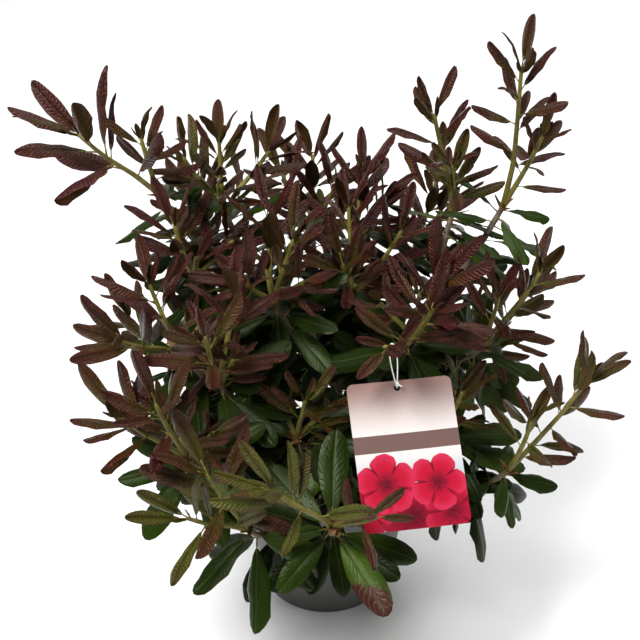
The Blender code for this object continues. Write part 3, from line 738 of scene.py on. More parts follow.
@dataclass(frozen=True)
class FloorFinish:
    """The pale studio floor, with a trace of unevenness."""

    name: str = "studio_floor"
    tint: Colour = (0.86, 0.86, 0.86)
    shade: Colour = (0.80, 0.80, 0.80)
    roughness: float = 0.9

    def material(self) -> bpy.types.Material:
        """Builds the material.

        Returns:
            The material, in Object coordinates.
        """
        skin = Skin(self.name)
        share = skin.noise(skin.position(), 2.0) * 0.02
        return skin.finish(skin.mix(share, self.tint, self.shade), self.roughness)


YOUNG_FINISH = LeafFinish(
    name="young_leaf_skin",
    upper=((0.0, (0.031, 0.0036, 0.0044)), (0.3, (0.040, 0.0088, 0.0038)), (0.6, (0.041, 0.0240, 0.0030)),
           (1.0, (0.056, 0.068, 0.0060))),
    lower=((0.0, (0.088, 0.036, 0.0100)), (0.35, (0.104, 0.056, 0.0120)), (0.7, (0.104, 0.078, 0.0140)),
           (1.0, (0.108, 0.116, 0.020))),
    midrib=(0.170, 0.115, 0.030), margin=(0.054, 0.0090, 0.0065), margin_share=0.5,
    roughness=0.26, under_roughness=0.55, vein_count=15.0, wrinkle=0.0018,
    midrib_share=0.10, under_midrib_share=0.5, gloss=0.34, highlight=(1.0, 0.70, 0.58), ripening=0.60,
    pillow=3.6, furrow_shade_share=0.85, furrow_shade_colour=(0.010, 0.0014, 0.0012),
)
MATURE_FINISH = LeafFinish(
    name="mature_leaf_skin",
    upper=((0.0, (0.0040, 0.0080, 0.0008)), (0.4, (0.0090, 0.0180, 0.0013)), (0.7, (0.018, 0.036, 0.0022)),
           (1.0, (0.042, 0.074, 0.005))),
    lower=((0.0, (0.030, 0.042, 0.010)), (0.5, (0.043, 0.062, 0.013)), (1.0, (0.065, 0.090, 0.020))),
    midrib=(0.085, 0.120, 0.018), margin=(0.018, 0.026, 0.004), margin_share=0.25,
    roughness=0.32, under_roughness=0.6, vein_count=12.0, wrinkle=0.00034,
    midrib_share=0.25, under_midrib_share=0.5, gloss=0.14, highlight=(0.90, 1.0, 0.70), ripening=0.15,
    pillow=6.0, furrow_shade_share=0.45, furrow_shade_colour=(0.0015, 0.0035, 0.0004),
    blotch=(0.034, 0.009, 0.006),
)
STALK_FINISH = StemFinish("leaf_stalk", (0.185, 0.155, 0.018), (0.100, 0.048, 0.009), 180.0, 0.55, 0.0003)
SHOOT_FINISH = StemFinish("new_shoot", (0.155, 0.145, 0.015), (0.095, 0.064, 0.008), 140.0, 0.6, 0.0004)
SCALE_FINISH = StemFinish("bud_scale", (0.230, 0.110, 0.030), (0.100, 0.038, 0.012), 160.0, 0.65, 0.0004)
BARK_FINISH = StemFinish("bark", (0.190, 0.145, 0.095), (0.060, 0.040, 0.024), 110.0, 0.8, 0.0010)
SOIL_FINISH = StemFinish(
    "potting_soil_skin", (0.060, 0.040, 0.026), (0.014, 0.009, 0.006), 150.0, 0.92, 0.0016)
STRING_FINISH = StemFinish("label_cord", (0.860, 0.860, 0.840), (0.640, 0.640, 0.610), 600.0, 0.45, 0.0002)


# Geometry node trees


class NodeMaker(Wiring):
    """A Geometry Nodes tree with named inputs, and the making of plain meshes from it."""

    def __init__(self, name: str, **inputs: str) -> None:
        """Starts the tree.

        Args:
            name: the tree's name.
            inputs: the socket types of its inputs by name, besides the geometry and the material.
        """
        super().__init__(bpy.data.node_groups.new(name, "GeometryNodeTree"))
        self.tree.is_modifier = True
        for way in ("INPUT", "OUTPUT"):
            self.tree.interface.new_socket("Geometry", in_out=way, socket_type="NodeSocketGeometry")
        self.identifiers = {}
        for title, kind in {**inputs, "Material": "Material"}.items():
            socket = self.tree.interface.new_socket(title, in_out="INPUT", socket_type="NodeSocket" + kind)
            self.identifiers[title] = socket.identifier
        self.given = self.add("NodeGroupInput").outputs

    def number(self, title: str) -> Signal:
        """A number input."""
        return Signal(self, self.given[title])

    def named(self, title: str, kind: str) -> Signal:
        """A named attribute of the geometry."""
        return self.signal("GeometryNodeInputNamedAttribute", "Attribute", {"Name": title}, data_type=kind)

    def chance(self, low: Feed, high: Feed) -> Signal:
        """A random number between two limits for each point, by the tree's seed."""
        feeds = {2: low, 3: high, "Seed": self.given["Seed"]}
        return self.signal("FunctionNodeRandomValue", 1, feeds, data_type="FLOAT")

    def set_shapes(self, points: Socket, shapes: str, turn: Signal, size: Signal, **feeds: Signal) -> Socket:
        """Sets a shape on each point.

        Args:
            points: the points.
            shapes: the input that holds the collection of shapes.
            turn: each shape's rotation.
            size: each shape's scale.
            feeds: other inputs of the instance node, by name with underscores for spaces.

        Returns:
            The instances.
        """
        whole = {"Collection": self.given[shapes], "Separate Children": True, "Reset Children": True}
        found = self.add("GeometryNodeCollectionInfo", whole).outputs["Instances"]
        given = {"Points": points, "Instance": found, "Pick Instance": True, "Rotation": turn, "Scale": size}
        given |= {title.replace("_", " "): value for title, value in feeds.items()}
        return self.add("GeometryNodeInstanceOnPoints", given).outputs["Instances"]

    def finish(self, geometry: Socket) -> None:
        """Ends the tree with realized instances, smooth faces and the material.

        Args:
            geometry: what the tree has made.
        """
        real = self.add("GeometryNodeRealizeInstances", {"Geometry": geometry}).outputs[0]
        smooth = self.add("GeometryNodeSetShadeSmooth", {0: real}).outputs[0]
        feeds = {"Geometry": smooth, "Material": self.given["Material"]}
        dressed = self.add("GeometryNodeSetMaterial", feeds).outputs[0]
        self.add("NodeGroupOutput", {"Geometry": dressed})

    def make(self, name: str, seed_mesh: bpy.types.Mesh, **values) -> bpy.types.Object:
        """Runs the tree over a mesh.

        Args:
            name: the new piece's name.
            seed_mesh: the points, edges or faces that the tree starts from.
            values: the tree's inputs by name.

        Returns:
            A plain mesh object, with no modifier left on it.
        """
        holder = place_piece(name + "_seed", seed_mesh)
        modifier = holder.modifiers.new("grow", "NODES")
        modifier.node_group = self.tree
        for title, value in values.items():
            modifier[self.identifiers[title]] = value
        bpy.context.view_layer.update()
        graph = bpy.context.evaluated_depsgraph_get()
        mesh = bpy.data.meshes.new_from_object(holder.evaluated_get(graph))
        bpy.data.objects.remove(holder)
        mesh.name = name
        return place_piece(name, mesh)


class SprayTree(NodeMaker):
    """Sets a leaf, stalk or scale shape on each point, turned and sized by the point's attributes."""

    def __init__(self) -> None:
        """Builds the tree."""
        super().__init__("leaf_spray", Shapes="Collection", SizeDrift="Float", Seed="Int")
        drift = self.number("SizeDrift")
        size = self.named("size", "FLOAT") * self.chance(1.0 - drift, drift + 1.0)
        turn, variant = self.named("turn", "QUATERNION"), self.named("variant", "INT")
        self.finish(self.set_shapes(self.given["Geometry"], "Shapes", turn, size, Instance_Index=variant))


class LimbTree(NodeMaker):
    """Wraps a round skin with a bark relief round chains of points that hold their radius."""

    def __init__(self) -> None:
        """Builds the tree."""
        super().__init__("limb_skin", Sides="Int", Relief="Float", Grain="Float")
        curve = self.add("GeometryNodeMeshToCurve", {0: self.given["Geometry"]}).outputs[0]
        ring = {"Resolution": self.given["Sides"], "Radius": 1.0}
        circle = self.add("GeometryNodeCurvePrimitiveCircle", ring).outputs["Curve"]
        radius = self.named("radius", "FLOAT")
        feeds = {"Curve": curve, "Profile Curve": circle, "Scale": radius, "Fill Caps": True}
        skin = self.add("GeometryNodeCurveToMesh", feeds).outputs["Mesh"]
        position = self.add("GeometryNodeInputPosition").outputs[0]
        swell = (self.noise(position, self.given["Grain"], 4.0, 0.6) - 0.5) * self.number("Relief")
        normal = self.add("GeometryNodeInputNormal").outputs[0]
        offset = self.signal("ShaderNodeVectorMath", "Vector", {0: normal, "Scale": swell}, operation="SCALE")
        self.finish(self.add("GeometryNodeSetPosition", {"Geometry": skin, "Offset": offset}).outputs[0])

    def wrap(self, name: str, ways: Sequence["Way"], **values) -> bpy.types.Object:
        """Makes one piece of several limbs.

        Args:
            name: the piece's name.
            ways: each limb's points and their radii.
            values: the tree's inputs by name.

        Returns:
            The piece.
        """
        spots, edges, radii = [], [], []
        for points, thick in ways:
            first = len(spots)
            spots += points
            radii += thick
            edges += [(index, index + 1) for index in range(first, len(spots) - 1)]
        mesh = bpy.data.meshes.new(name)
        mesh.from_pydata(spots, edges, [])
        mesh.attributes.new("radius", "FLOAT", "POINT").data.foreach_set("value", radii)
        return self.make(name, mesh, **values)


class ScatterTree(NodeMaker):
    """Strews crumbs over a surface, each at its own turn and size."""

    def __init__(self) -> None:
        """Builds the tree."""
        sizes = {"Density": "Float", "Smallest": "Float", "Largest": "Float"}
        super().__init__("crumb_scatter", Crumbs="Collection", Seed="Int", **sizes)
        feeds = {"Mesh": self.given["Geometry"], "Density": self.given["Density"], "Seed": self.given["Seed"]}
        spots = self.add("GeometryNodeDistributePointsOnFaces", feeds).outputs["Points"]
        feeds = {1: (math.tau, math.tau, math.tau), "Seed": self.given["Seed"]}
        turn = self.signal("FunctionNodeRandomValue", 0, feeds, data_type="FLOAT_VECTOR")
        size = self.chance(self.given["Smallest"], self.given["Largest"])
        self.finish(self.set_shapes(spots, "Crumbs", turn, size))


# Mesh making

Way = tuple[list[Vector], list[float]]


def place_piece(
    name: str, data: bpy.types.ID, collection: bpy.types.Collection | None = None
) -> bpy.types.Object:
    """Makes an object of a mesh, a light or a camera, and links it into the scene or a collection.

    Args:
        name: its name.
        data: the mesh, the light or the camera.
        collection: where it goes, if not into the scene.

    Returns:
        The object.
    """
    piece = bpy.data.objects.new(name, data)
    (collection or bpy.context.scene.collection).objects.link(piece)
    return piece


def hand_over(piece: bpy.types.Object, slot: str, *nodes: str) -> None:
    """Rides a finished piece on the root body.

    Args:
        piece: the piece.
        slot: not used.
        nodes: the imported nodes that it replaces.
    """
    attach(piece, BODY)
    if nodes:
        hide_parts(*nodes)
    triangles = sum(len(face.vertices) - 2 for face in piece.data.polygons)
    log.info("%s: %d triangles", piece.name, triangles)


def mesh_of(shape: bmesh.types.BMesh, name: str) -> bpy.types.Mesh:
    """Turns a worked shape into a mesh, and frees it.

    Args:
        shape: the shape.
        name: the mesh's name.

    Returns:
        The mesh.
    """
    mesh = bpy.data.meshes.new(name)
    shape.to_mesh(mesh)
    shape.free()
    return mesh


def shape_library(title: str, count: int, make: Callable) -> bpy.types.Collection:
    """Makes the variants of one shape, kept out of the scene.

    Args:
        title: the name that the variants and their draws go by.
        count: how many variants there are.
        make: builds a variant's mesh from its name and a source of unevenness.

    Returns:
        The collection of the variants.
    """
    collection = bpy.data.collections.new(title)
    draw = random.Random(title)
    for index in range(count):
        place_piece(f"{title}_{index}", make(f"{title}_{index}", draw), collection)
    return collection


def clear_away(collection: bpy.types.Collection) -> None:
    """Removes a collection of variants.

    Args:
        collection: what shape_library made.
    """
    for shape in list(collection.objects):
        bpy.data.objects.remove(shape)
    bpy.data.collections.remove(collection)


def ring_faces(rings: Sequence[Sequence]) -> list[tuple]:
    """The faces that join each ring of corners to the next, where a repeated corner counts once.

    Args:
        rings: rows of equally many corners, which come back to their first where they are closed.

    Returns:
        Each face's corners.
    """
    return [
        tuple(dict.fromkeys((low[side], low[side + 1], high[side + 1], high[side])))
        for low, high in zip(rings, rings[1:])
        for side in range(len(low) - 1)
    ]


def turned_mesh(name: str, profile: Sequence[tuple[float, float]], sides: int) -> bpy.types.Mesh:
    """A closed profile of radius and height pairs, turned about the upright axis.

    Args:
        name: the mesh's name.
        profile: the pairs, from the axis round to the axis again.
        sides: how many faces go round.

    Returns:
        The smooth-shaded mesh, with its faces outwards.
    """
    spots: list[tuple[float, float, float]] = []
    rings: list[list[int]] = []
    for radius, height in profile:
        count = sides if radius > 0.0 else 1
        angles = [math.tau * side / sides for side in range(count)]
        start = len(spots)
        spots += [(radius * math.cos(angle), radius * math.sin(angle), height) for angle in angles]
        rings.append([start + side % count for side in range(sides + 1)])
    mesh = bpy.data.meshes.new(name)
    mesh.from_pydata(spots, [], ring_faces(rings))
    mesh.shade_smooth()
    return mesh


# Leaf, stalk, scale and crumb shapes


@dataclass(frozen=True)
class LeafShape:
    """One kind of blade, as shares of its length, with the unevenness of its variants."""

    width: float
    arch: float
    base: float
    belly: float
    tip: float
    fold: float
    roll: float
    groove: float
    thickness: float
    ripple: float
    curl: float
    rows: int
    tuck: float = 0.12
    roll_power: float = 2.2
    ripple_waves: float = 15.0
    curl_start: float = 0.6
    columns: tuple[float, ...] = (-1.0, -0.52, 0.0, 0.52, 1.0)

    def half_width(self, share: float) -> float:
        """Half the blade's width at a share of its way from base to tip.

        Args:
            share: the share.

        Returns:
            The half width.
        """
        peak = self.belly / (self.belly + self.tip)
        top = peak**self.belly * (1 - peak) ** self.tip
        return self.width / 2 * share**self.belly * (1 - share) ** self.tip / top

    def blade(self, name: str, draw: random.Random) -> bpy.types.Mesh:
        """Builds one variant.

        Args:
            name: the mesh's name.
            draw: the source of its unevenness.

        Returns:
            A thin closed blade that lies along +Y with its upper side to +Z, with a UV map of its
            outline and an attribute that marks its underside.
        """
        arch = self.arch * draw.uniform(0.3, 1.7)
        bend, twist = draw.uniform(-0.07, 0.07), draw.uniform(-0.6, 0.6)
        roll = self.roll * draw.uniform(0.6, 1.4)
        phase, curl = draw.uniform(0, math.tau), self.curl * draw.uniform(-0.8, 1.2)
        shape = bmesh.new()
        uv_layer = shape.loops.layers.uv.new("UVMap")
        under_layer = shape.faces.layers.float.new("underside")
        place_of = {}

        def spot(across: float, share: float, lift: float) -> bmesh.types.BMVert:
            """A corner of the blade.

            Args:
                across: its place from the left edge, -1, to the right edge, 1.
                share: its place from the foot to the tip.
                lift: its height over the middle of the blade's thickness.

            Returns:
                The corner.
            """
            half = self.half_width(share) if 0.0 < share < 1.0 else 0.0
            reach = self.base + (1 - self.base) * share
            drop = arch * reach * reach
            aside = half * across * (1 - self.tuck * roll * across * across)
            height = half * (self.fold * abs(across) - roll * abs(across) ** self.roll_power)
            wave = math.sin(phase + share * self.ripple_waves + across)
            height += self.ripple * wave * across * across * half / self.width
            height += lift - drop - curl * max(0.0, share - self.curl_start) ** 2 * 4
            turned = Vector((aside, 0.0, height + drop))
            turned.rotate(Matrix.Rotation(twist * (share - 0.3), 3, "Y"))
            corner = shape.verts.new((turned.x + bend * reach * reach, reach, turned.z - drop))
            place_of[corner] = ((across + 1) / 2, share)
            return corner

        shares = [(1 - math.cos(math.pi * index / self.rows)) / 2 for index in range(1, self.rows)]
        foot, point = spot(0.0, 0.0, 0.0), spot(0.0, 1.0, 0.0)
        feet, points = [foot] * len(self.columns), [point] * len(self.columns)
        upper: list[list[bmesh.types.BMVert]] = []
        for side in (1, -1):
            rows = []
            for index, share in enumerate(shares):
                row = []
                for column, across in enumerate(self.columns):
                    if side < 0 and abs(across) == 1.0:
                        row.append(upper[index][column])
                        continue
                    lift = side * self.thickness / 2 * (1 - across * across)
                    if across == 0.0:
                        lift -= self.groove * (1 - share)
                    row.append(spot(across, share, lift))
                rows.append(row)
            for corners in ring_faces([feet, *rows, points]):
                face = shape.faces.new(corners if side > 0 else (corners[0], *corners[:0:-1]))
                face[under_layer] = float(side < 0)
                for loop in face.loops:
                    loop[uv_layer].uv = place_of[loop.vert]
            upper = rows
        for edge in shape.edges:
            edge.smooth = len({face[under_layer] for face in edge.link_faces}) == 1
        return mesh_of(shape, name)


@dataclass(frozen=True)
class StalkShape:
    """A leaf stalk, as shares of the leaf's length: from inside the twig to the blade's foot."""

    length: float
    foot_radius: float
    top_radius: float
    arch: float
    sides: int = 6
    rows: int = 4
    flatness: float = 0.8
    sink: float = 0.4

    def mesh(self, name: str, draw: random.Random) -> bpy.types.Mesh:
        """Builds one variant.

        Args:
            name: the mesh's name.
            draw: the source of its unevenness.

        Returns:
            The stalk, closed at its ends, which tapers into the blade's midrib.
        """
        shape = bmesh.new()
        sway = draw.uniform(-0.004, 0.004)
        rings = []
        for index in range(self.rows + 1):
            share = index / self.rows
            radius = self.foot_radius + (self.top_radius - self.foot_radius) * share**0.6
            reach = self.length * share
            ring = []
            for side in range(self.sides):
                angle = math.tau * side / self.sides
                x = radius * math.cos(angle) + sway * math.sin(share * math.pi)
                z = radius * self.flatness * math.sin(angle) - self.arch * reach * reach - radius * self.sink
                ring.append(shape.verts.new((x, reach, z)))
            rings.append([*ring, ring[0]])
        for corners in (*ring_faces(rings), rings[0][1:], rings[-1][:0:-1]):
            shape.faces.new(corners)
        bmesh.ops.recalc_face_normals(shape, faces=shape.faces)
        return mesh_of(shape, name)


def crumb_mesh(name: str, draw: random.Random) -> bpy.types.Mesh:
    """Builds one crumb of peat or bark.

    Args:
        name: the mesh's name.
        draw: the source of its unevenness.

    Returns:
        The crumb, about one unit across.
    """
    shape = bmesh.new()
    bmesh.ops.create_icosphere(shape, subdivisions=1, radius=0.5)
    stretch = Vector((draw.uniform(0.5, 1.6), draw.uniform(0.5, 1.0), draw.uniform(0.3, 0.7)))
    for corner in shape.verts:
        corner.co = Vector(a * b for a, b in zip(corner.co, stretch)) * draw.uniform(0.75, 1.2)
    return mesh_of(shape, name)


YOUNG_SHAPE = LeafShape(
    width=0.260, arch=0.07, base=0.14, belly=0.66, tip=0.52, fold=0.60, roll=1.10, groove=0.014,
    thickness=0.012, ripple=0.03, curl=0.12, rows=10,
)
MATURE_SHAPE = LeafShape(
    width=0.33, arch=0.11, base=0.13, belly=0.82, tip=0.54, fold=0.30, roll=0.50, groove=0.006,
    thickness=0.010, ripple=0.05, curl=0.06, rows=10,
)
SCALE_SHAPE = LeafShape(
    width=0.30, arch=-0.10, base=0.0, belly=0.45, tip=0.60, fold=-0.10, roll=-0.55, groove=0.0,
    thickness=0.04, ripple=0.0, curl=0.05, rows=5,
)
YOUNG_STALK = StalkShape(length=0.24, foot_radius=0.017, top_radius=0.008, arch=0.07)
MATURE_STALK = StalkShape(length=0.22, foot_radius=0.015, top_radius=0.007, arch=0.11)


# Growth


def unit_vector(bearing: float, lean: float) -> Vector:
    """The direction that leans from upright towards a bearing, both in degrees."""
    turn, tilt = math.radians(bearing), math.radians(lean)
    return Vector((math.sin(tilt) * math.cos(turn), math.sin(tilt) * math.sin(turn), math.cos(tilt)))


def leaf_frame(axis: Vector, around: float, spread: float, sag: float) -> tuple[Vector, Vector]:
    """Sets a leaf round its twig.

    Args:
        axis: the twig's direction.
        around: the angle round the twig.
        spread: the angle away from the twig.
        sag: how strongly the leaf is turned down.

    Returns:
        The leaf's direction and its upper normal.
    """
    side = (Vector((1, 0, 0)) - axis * axis.x).normalized()
    outward = side * math.cos(around) + axis.cross(side) * math.sin(around)
    along = axis * math.cos(spread) + outward * math.sin(spread)
    along = (along - Vector((0, 0, sag))).normalized()
    upper = axis if abs(axis.dot(along)) < ERECT_LEAF else outward * -1.0
    return along, (upper - along * upper.dot(along)).normalized()


@dataclass
class Leaf:
    """One leaf in place."""

    kind: Kind
    root: Vector
    along: Vector
    normal: Vector
    length: float
    tone: float
    blight: float = 0.0

    def spot(self, share: float) -> Vector:
        """A point of the leaf's midline."""
        drop = self.kind.arch * self.length * share * share
        return self.root + self.along * (share * self.length) - self.normal * drop

    def midline(self) -> list[Vector]:
        """Points of the blade's midline, for tests of its room."""
        return [self.spot(share) for share in (0.35, 0.55, 0.75, 1.0)]


@dataclass(frozen=True)
class Perch:
    """A place for a leaf: its root, its twig's direction, two angles in radians, and its length."""

    root: Vector
    axis: Vector
    spread: float
    around: float
    length: float

    def leaves(self, kind: Kind, tone: float) -> Iterator[Leaf]:
        """The leaf of this kind and tone at each nudge in turn.

        Args:
            kind: the leaf's kind.
            tone: its tone.

        Returns:
            The leaves, the least nudged first.
        """
        for turn, lift in NUDGES:
            spread = self.spread + math.radians(lift)
            along, normal = leaf_frame(self.axis, self.around + math.radians(turn), spread, kind.sag)
            yield Leaf(kind, self.root, along, normal, self.length, tone)


class Path:
    """A limb's way: a cubic curve from its foot to its end, with straight steps for its leaves."""

    def __init__(self, foot: Vector, leaving: Vector, arriving: Vector, end: Vector, steps: int) -> None:
        """Takes the curve's four handles and its number of straight steps.

        Args:
            foot: where the limb starts.
            leaving: the handle that it leaves towards.
            arriving: the handle that it arrives from.
            end: where it ends.
            steps: its straight steps.
        """
        self.handles = foot, leaving, arriving, end
        self.steps = steps
        self.points = [self.on_curve(index / steps) for index in range(steps + 1)]

    def on_curve(self, t: float) -> Vector:
        """A point of the smooth curve.

        Args:
            t: the share of the way.

        Returns:
            The point.
        """
        a, b, c, d = self.handles
        s = 1 - t
        return a * s**3 + b * (3 * s * s * t) + c * (3 * s * t * t) + d * t**3

    def at(self, t: float) -> Vector:
        """A point of the way in straight steps, where a leaf is rooted.

        Args:
            t: the share of the way.

        Returns:
            The point.
        """
        place = min(max(t, 0.0), 1.0) * self.steps
        index = min(int(place), self.steps - 1)
        return self.points[index].lerp(self.points[index + 1], place - index)

    def between(self, t: float, straightness: float) -> Vector:
        """A point between the smooth curve, at 0, and the straight steps, at 1."""
        return self.on_curve(t).lerp(self.at(t), straightness)

    def axis(self, t: float) -> Vector:
        """The direction of the curve."""
        low, high = max(0.0, t - 0.01), min(1.0, t + 0.01)
        return (self.on_curve(high) - self.on_curve(low)).normalized()

    def before_end(self, distance: float) -> float:
        """The share of the way at which this much of its length is left.

        Args:
            distance: the length that is left.

        Returns:
            The share, from 0 at the foot to 1 at the end.
        """
        index = self.steps
        while distance > (step := (self.points[index] - self.points[index - 1]).length):
            distance -= step
            index -= 1
        return (index - distance / step) / self.steps

    def length(self) -> float:
        """The length of the way."""
        return sum((b - a).length for a, b in zip(self.points, self.points[1:]))

    def perch(self, t: float, spread: float, around: float, length: float) -> Perch:
        """A leaf's place at a share of the way, with its spread in degrees."""
        return Perch(self.at(t), self.axis(t), math.radians(spread), around, length)


def trunk_path() -> Path:
    """The trunk's way from the soil to its top.

    Returns:
        The trunk's way.
    """
    foot = Vector((0.0, 0.0, SOIL_LEVEL + CLEARANCE))
    rise = TRUNK_TOP - foot
    return Path(foot, foot + Vector((0, 0, rise.z / 3)), TRUNK_TOP - rise / 3, TRUNK_TOP, TRUNK_STEPS)


def mass_path(mass: Mass, parent: Path) -> Path:
    """The way of the limb that springs from its parent, bends up and ends at the mass's node.

    Args:
        mass: the mass.
        parent: the way of the limb that it springs from.

    Returns:
        The bough's way.
    """
    start = parent.at(mass.along)
    node = Vector(mass.node)
    reach = node - start
    outward = Vector((reach.x, reach.y, 0.0)).normalized()
    pull = parent.axis(mass.along) * PARENT_PULL
    leaving = (pull + reach.normalized() + outward * OUTWARD_PUSH).normalized()
    arriving = (outward * OUTWARD_LEAN + UP).normalized()
    span = reach.length * BOUGH_BEND
    return Path(start, start + leaving * span, node - arriving * span, node, BOUGH_STEPS)


def shoot_path(node: Vector, shoot: Shoot, stem_axis: Vector) -> Path:
    """The way of a new shoot: it leaves along the twig and bends its own way.

    Args:
        node: where it starts.
        shoot: the shoot.
        stem_axis: the twig's direction there.

    Returns:
        The shoot's way.
    """
    way = unit_vector(shoot.bearing, shoot.lean)
    tip = node + way * shoot.length
    leaving = (stem_axis + way).normalized()
    rising = (way + UP * SHOOT_RISE).normalized()
    span = shoot.length * SHOOT_BEND
    return Path(node, node + leaving * span, tip - rising * span, tip, SHOOT_STEPS)


def shoot_leaves(shoot: Shoot, path: Path, draw: random.Random) -> Iterator[Perch]:
    """The place of each leaf of a new shoot.

    Args:
        shoot: the shoot.
        path: its way.
        draw: the source of its unevenness.

    Yields:
        The places, from the shoot's foot to its tip.
    """
    for index in range(shoot.leaves):
        share = index / (shoot.leaves - 1)
        yield path.perch(
            FIRST_LEAF + LEAF_SPAN * share**CROWDING,
            SHOOT_SPREAD - SHOOT_CLOSING * share + draw.uniform(-SHOOT_PLAY, SHOOT_PLAY),
            index * GOLDEN_ANGLE + draw.uniform(-0.2, 0.2),
            shoot.leaf_length * (0.98 - 0.22 * abs(share - 0.35)) * draw.uniform(*SHOOT_LENGTHS),
        )


def ring_leaves(mass: Mass, path: Path, draw: random.Random) -> Iterator[Perch]:
    """The place of each leaf of last year's ring.

    Args:
        mass: the mass.
        path: its bough's way.
        draw: the source of its unevenness.

    Yields:
        The places, from the twig's top downwards.
    """
    top, bottom = path.before_end(RING_TOP), path.before_end(RING_BOTTOM)
    for index in range(mass.ring_leaves):
        share = index / mass.ring_leaves
        yield path.perch(
            top + (bottom - top) * share,
            RING_SPREAD + RING_OPENING * share + draw.uniform(-RING_PLAY, RING_PLAY),
            math.radians(mass.ring_turn) + index * GOLDEN_ANGLE + draw.uniform(-0.25, 0.25),
            mass.ring_length * draw.uniform(*RING_LENGTHS),
        )


class Room:
    """The room that is left for the finer leaves: clear of other leaves, the pot, the label and the box."""

    most_spots = 20000
    gap = 0.012
    label_end_gap = 0.03

    def __init__(self, label: "HangLabel") -> None:
        """Starts with all the room free.

        Args:
            label: the card, whose view stays free.
        """
        self.taken = np.empty((self.most_spots, 3))
        self.count = 0
        self.into_label = label.place().inverted()
        self.label = label

    def add(self, leaf: Leaf) -> None:
        """Marks a leaf's midline as taken.

        Args:
            leaf: the leaf.
        """
        for spot in leaf.midline():
            self.taken[self.count] = spot
            self.count += 1

    def suits(self, leaf: Leaf, spacing: float) -> bool:
        """Tells whether a leaf has room.

        Args:
            leaf: the leaf to be tried.
            spacing: the least distance to any other leaf's midline.

        Returns:
            True where every point of its midline is free.
        """
        taken = self.taken[: self.count]
        for spot in leaf.midline():
            if any(not low <= value <= high for value, low, high in zip(spot, *CAD_BOX)):
                return False
            if math.hypot(spot.x, spot.y) < POT_RIM_RADIUS + self.gap and spot.z < POT_HEIGHT + self.gap:
                return False
            flat = self.into_label @ spot
            beside = abs(flat.x) < self.label.width / 2 + self.gap
            beside = beside and abs(flat.y) < self.label.height / 2 + self.label_end_gap
            if beside and -self.gap < flat.z < self.label.free_depth:
                return False
            if np.min(np.sum((taken - np.array(spot)) ** 2, axis=1)) < spacing * spacing:
                return False
        return True


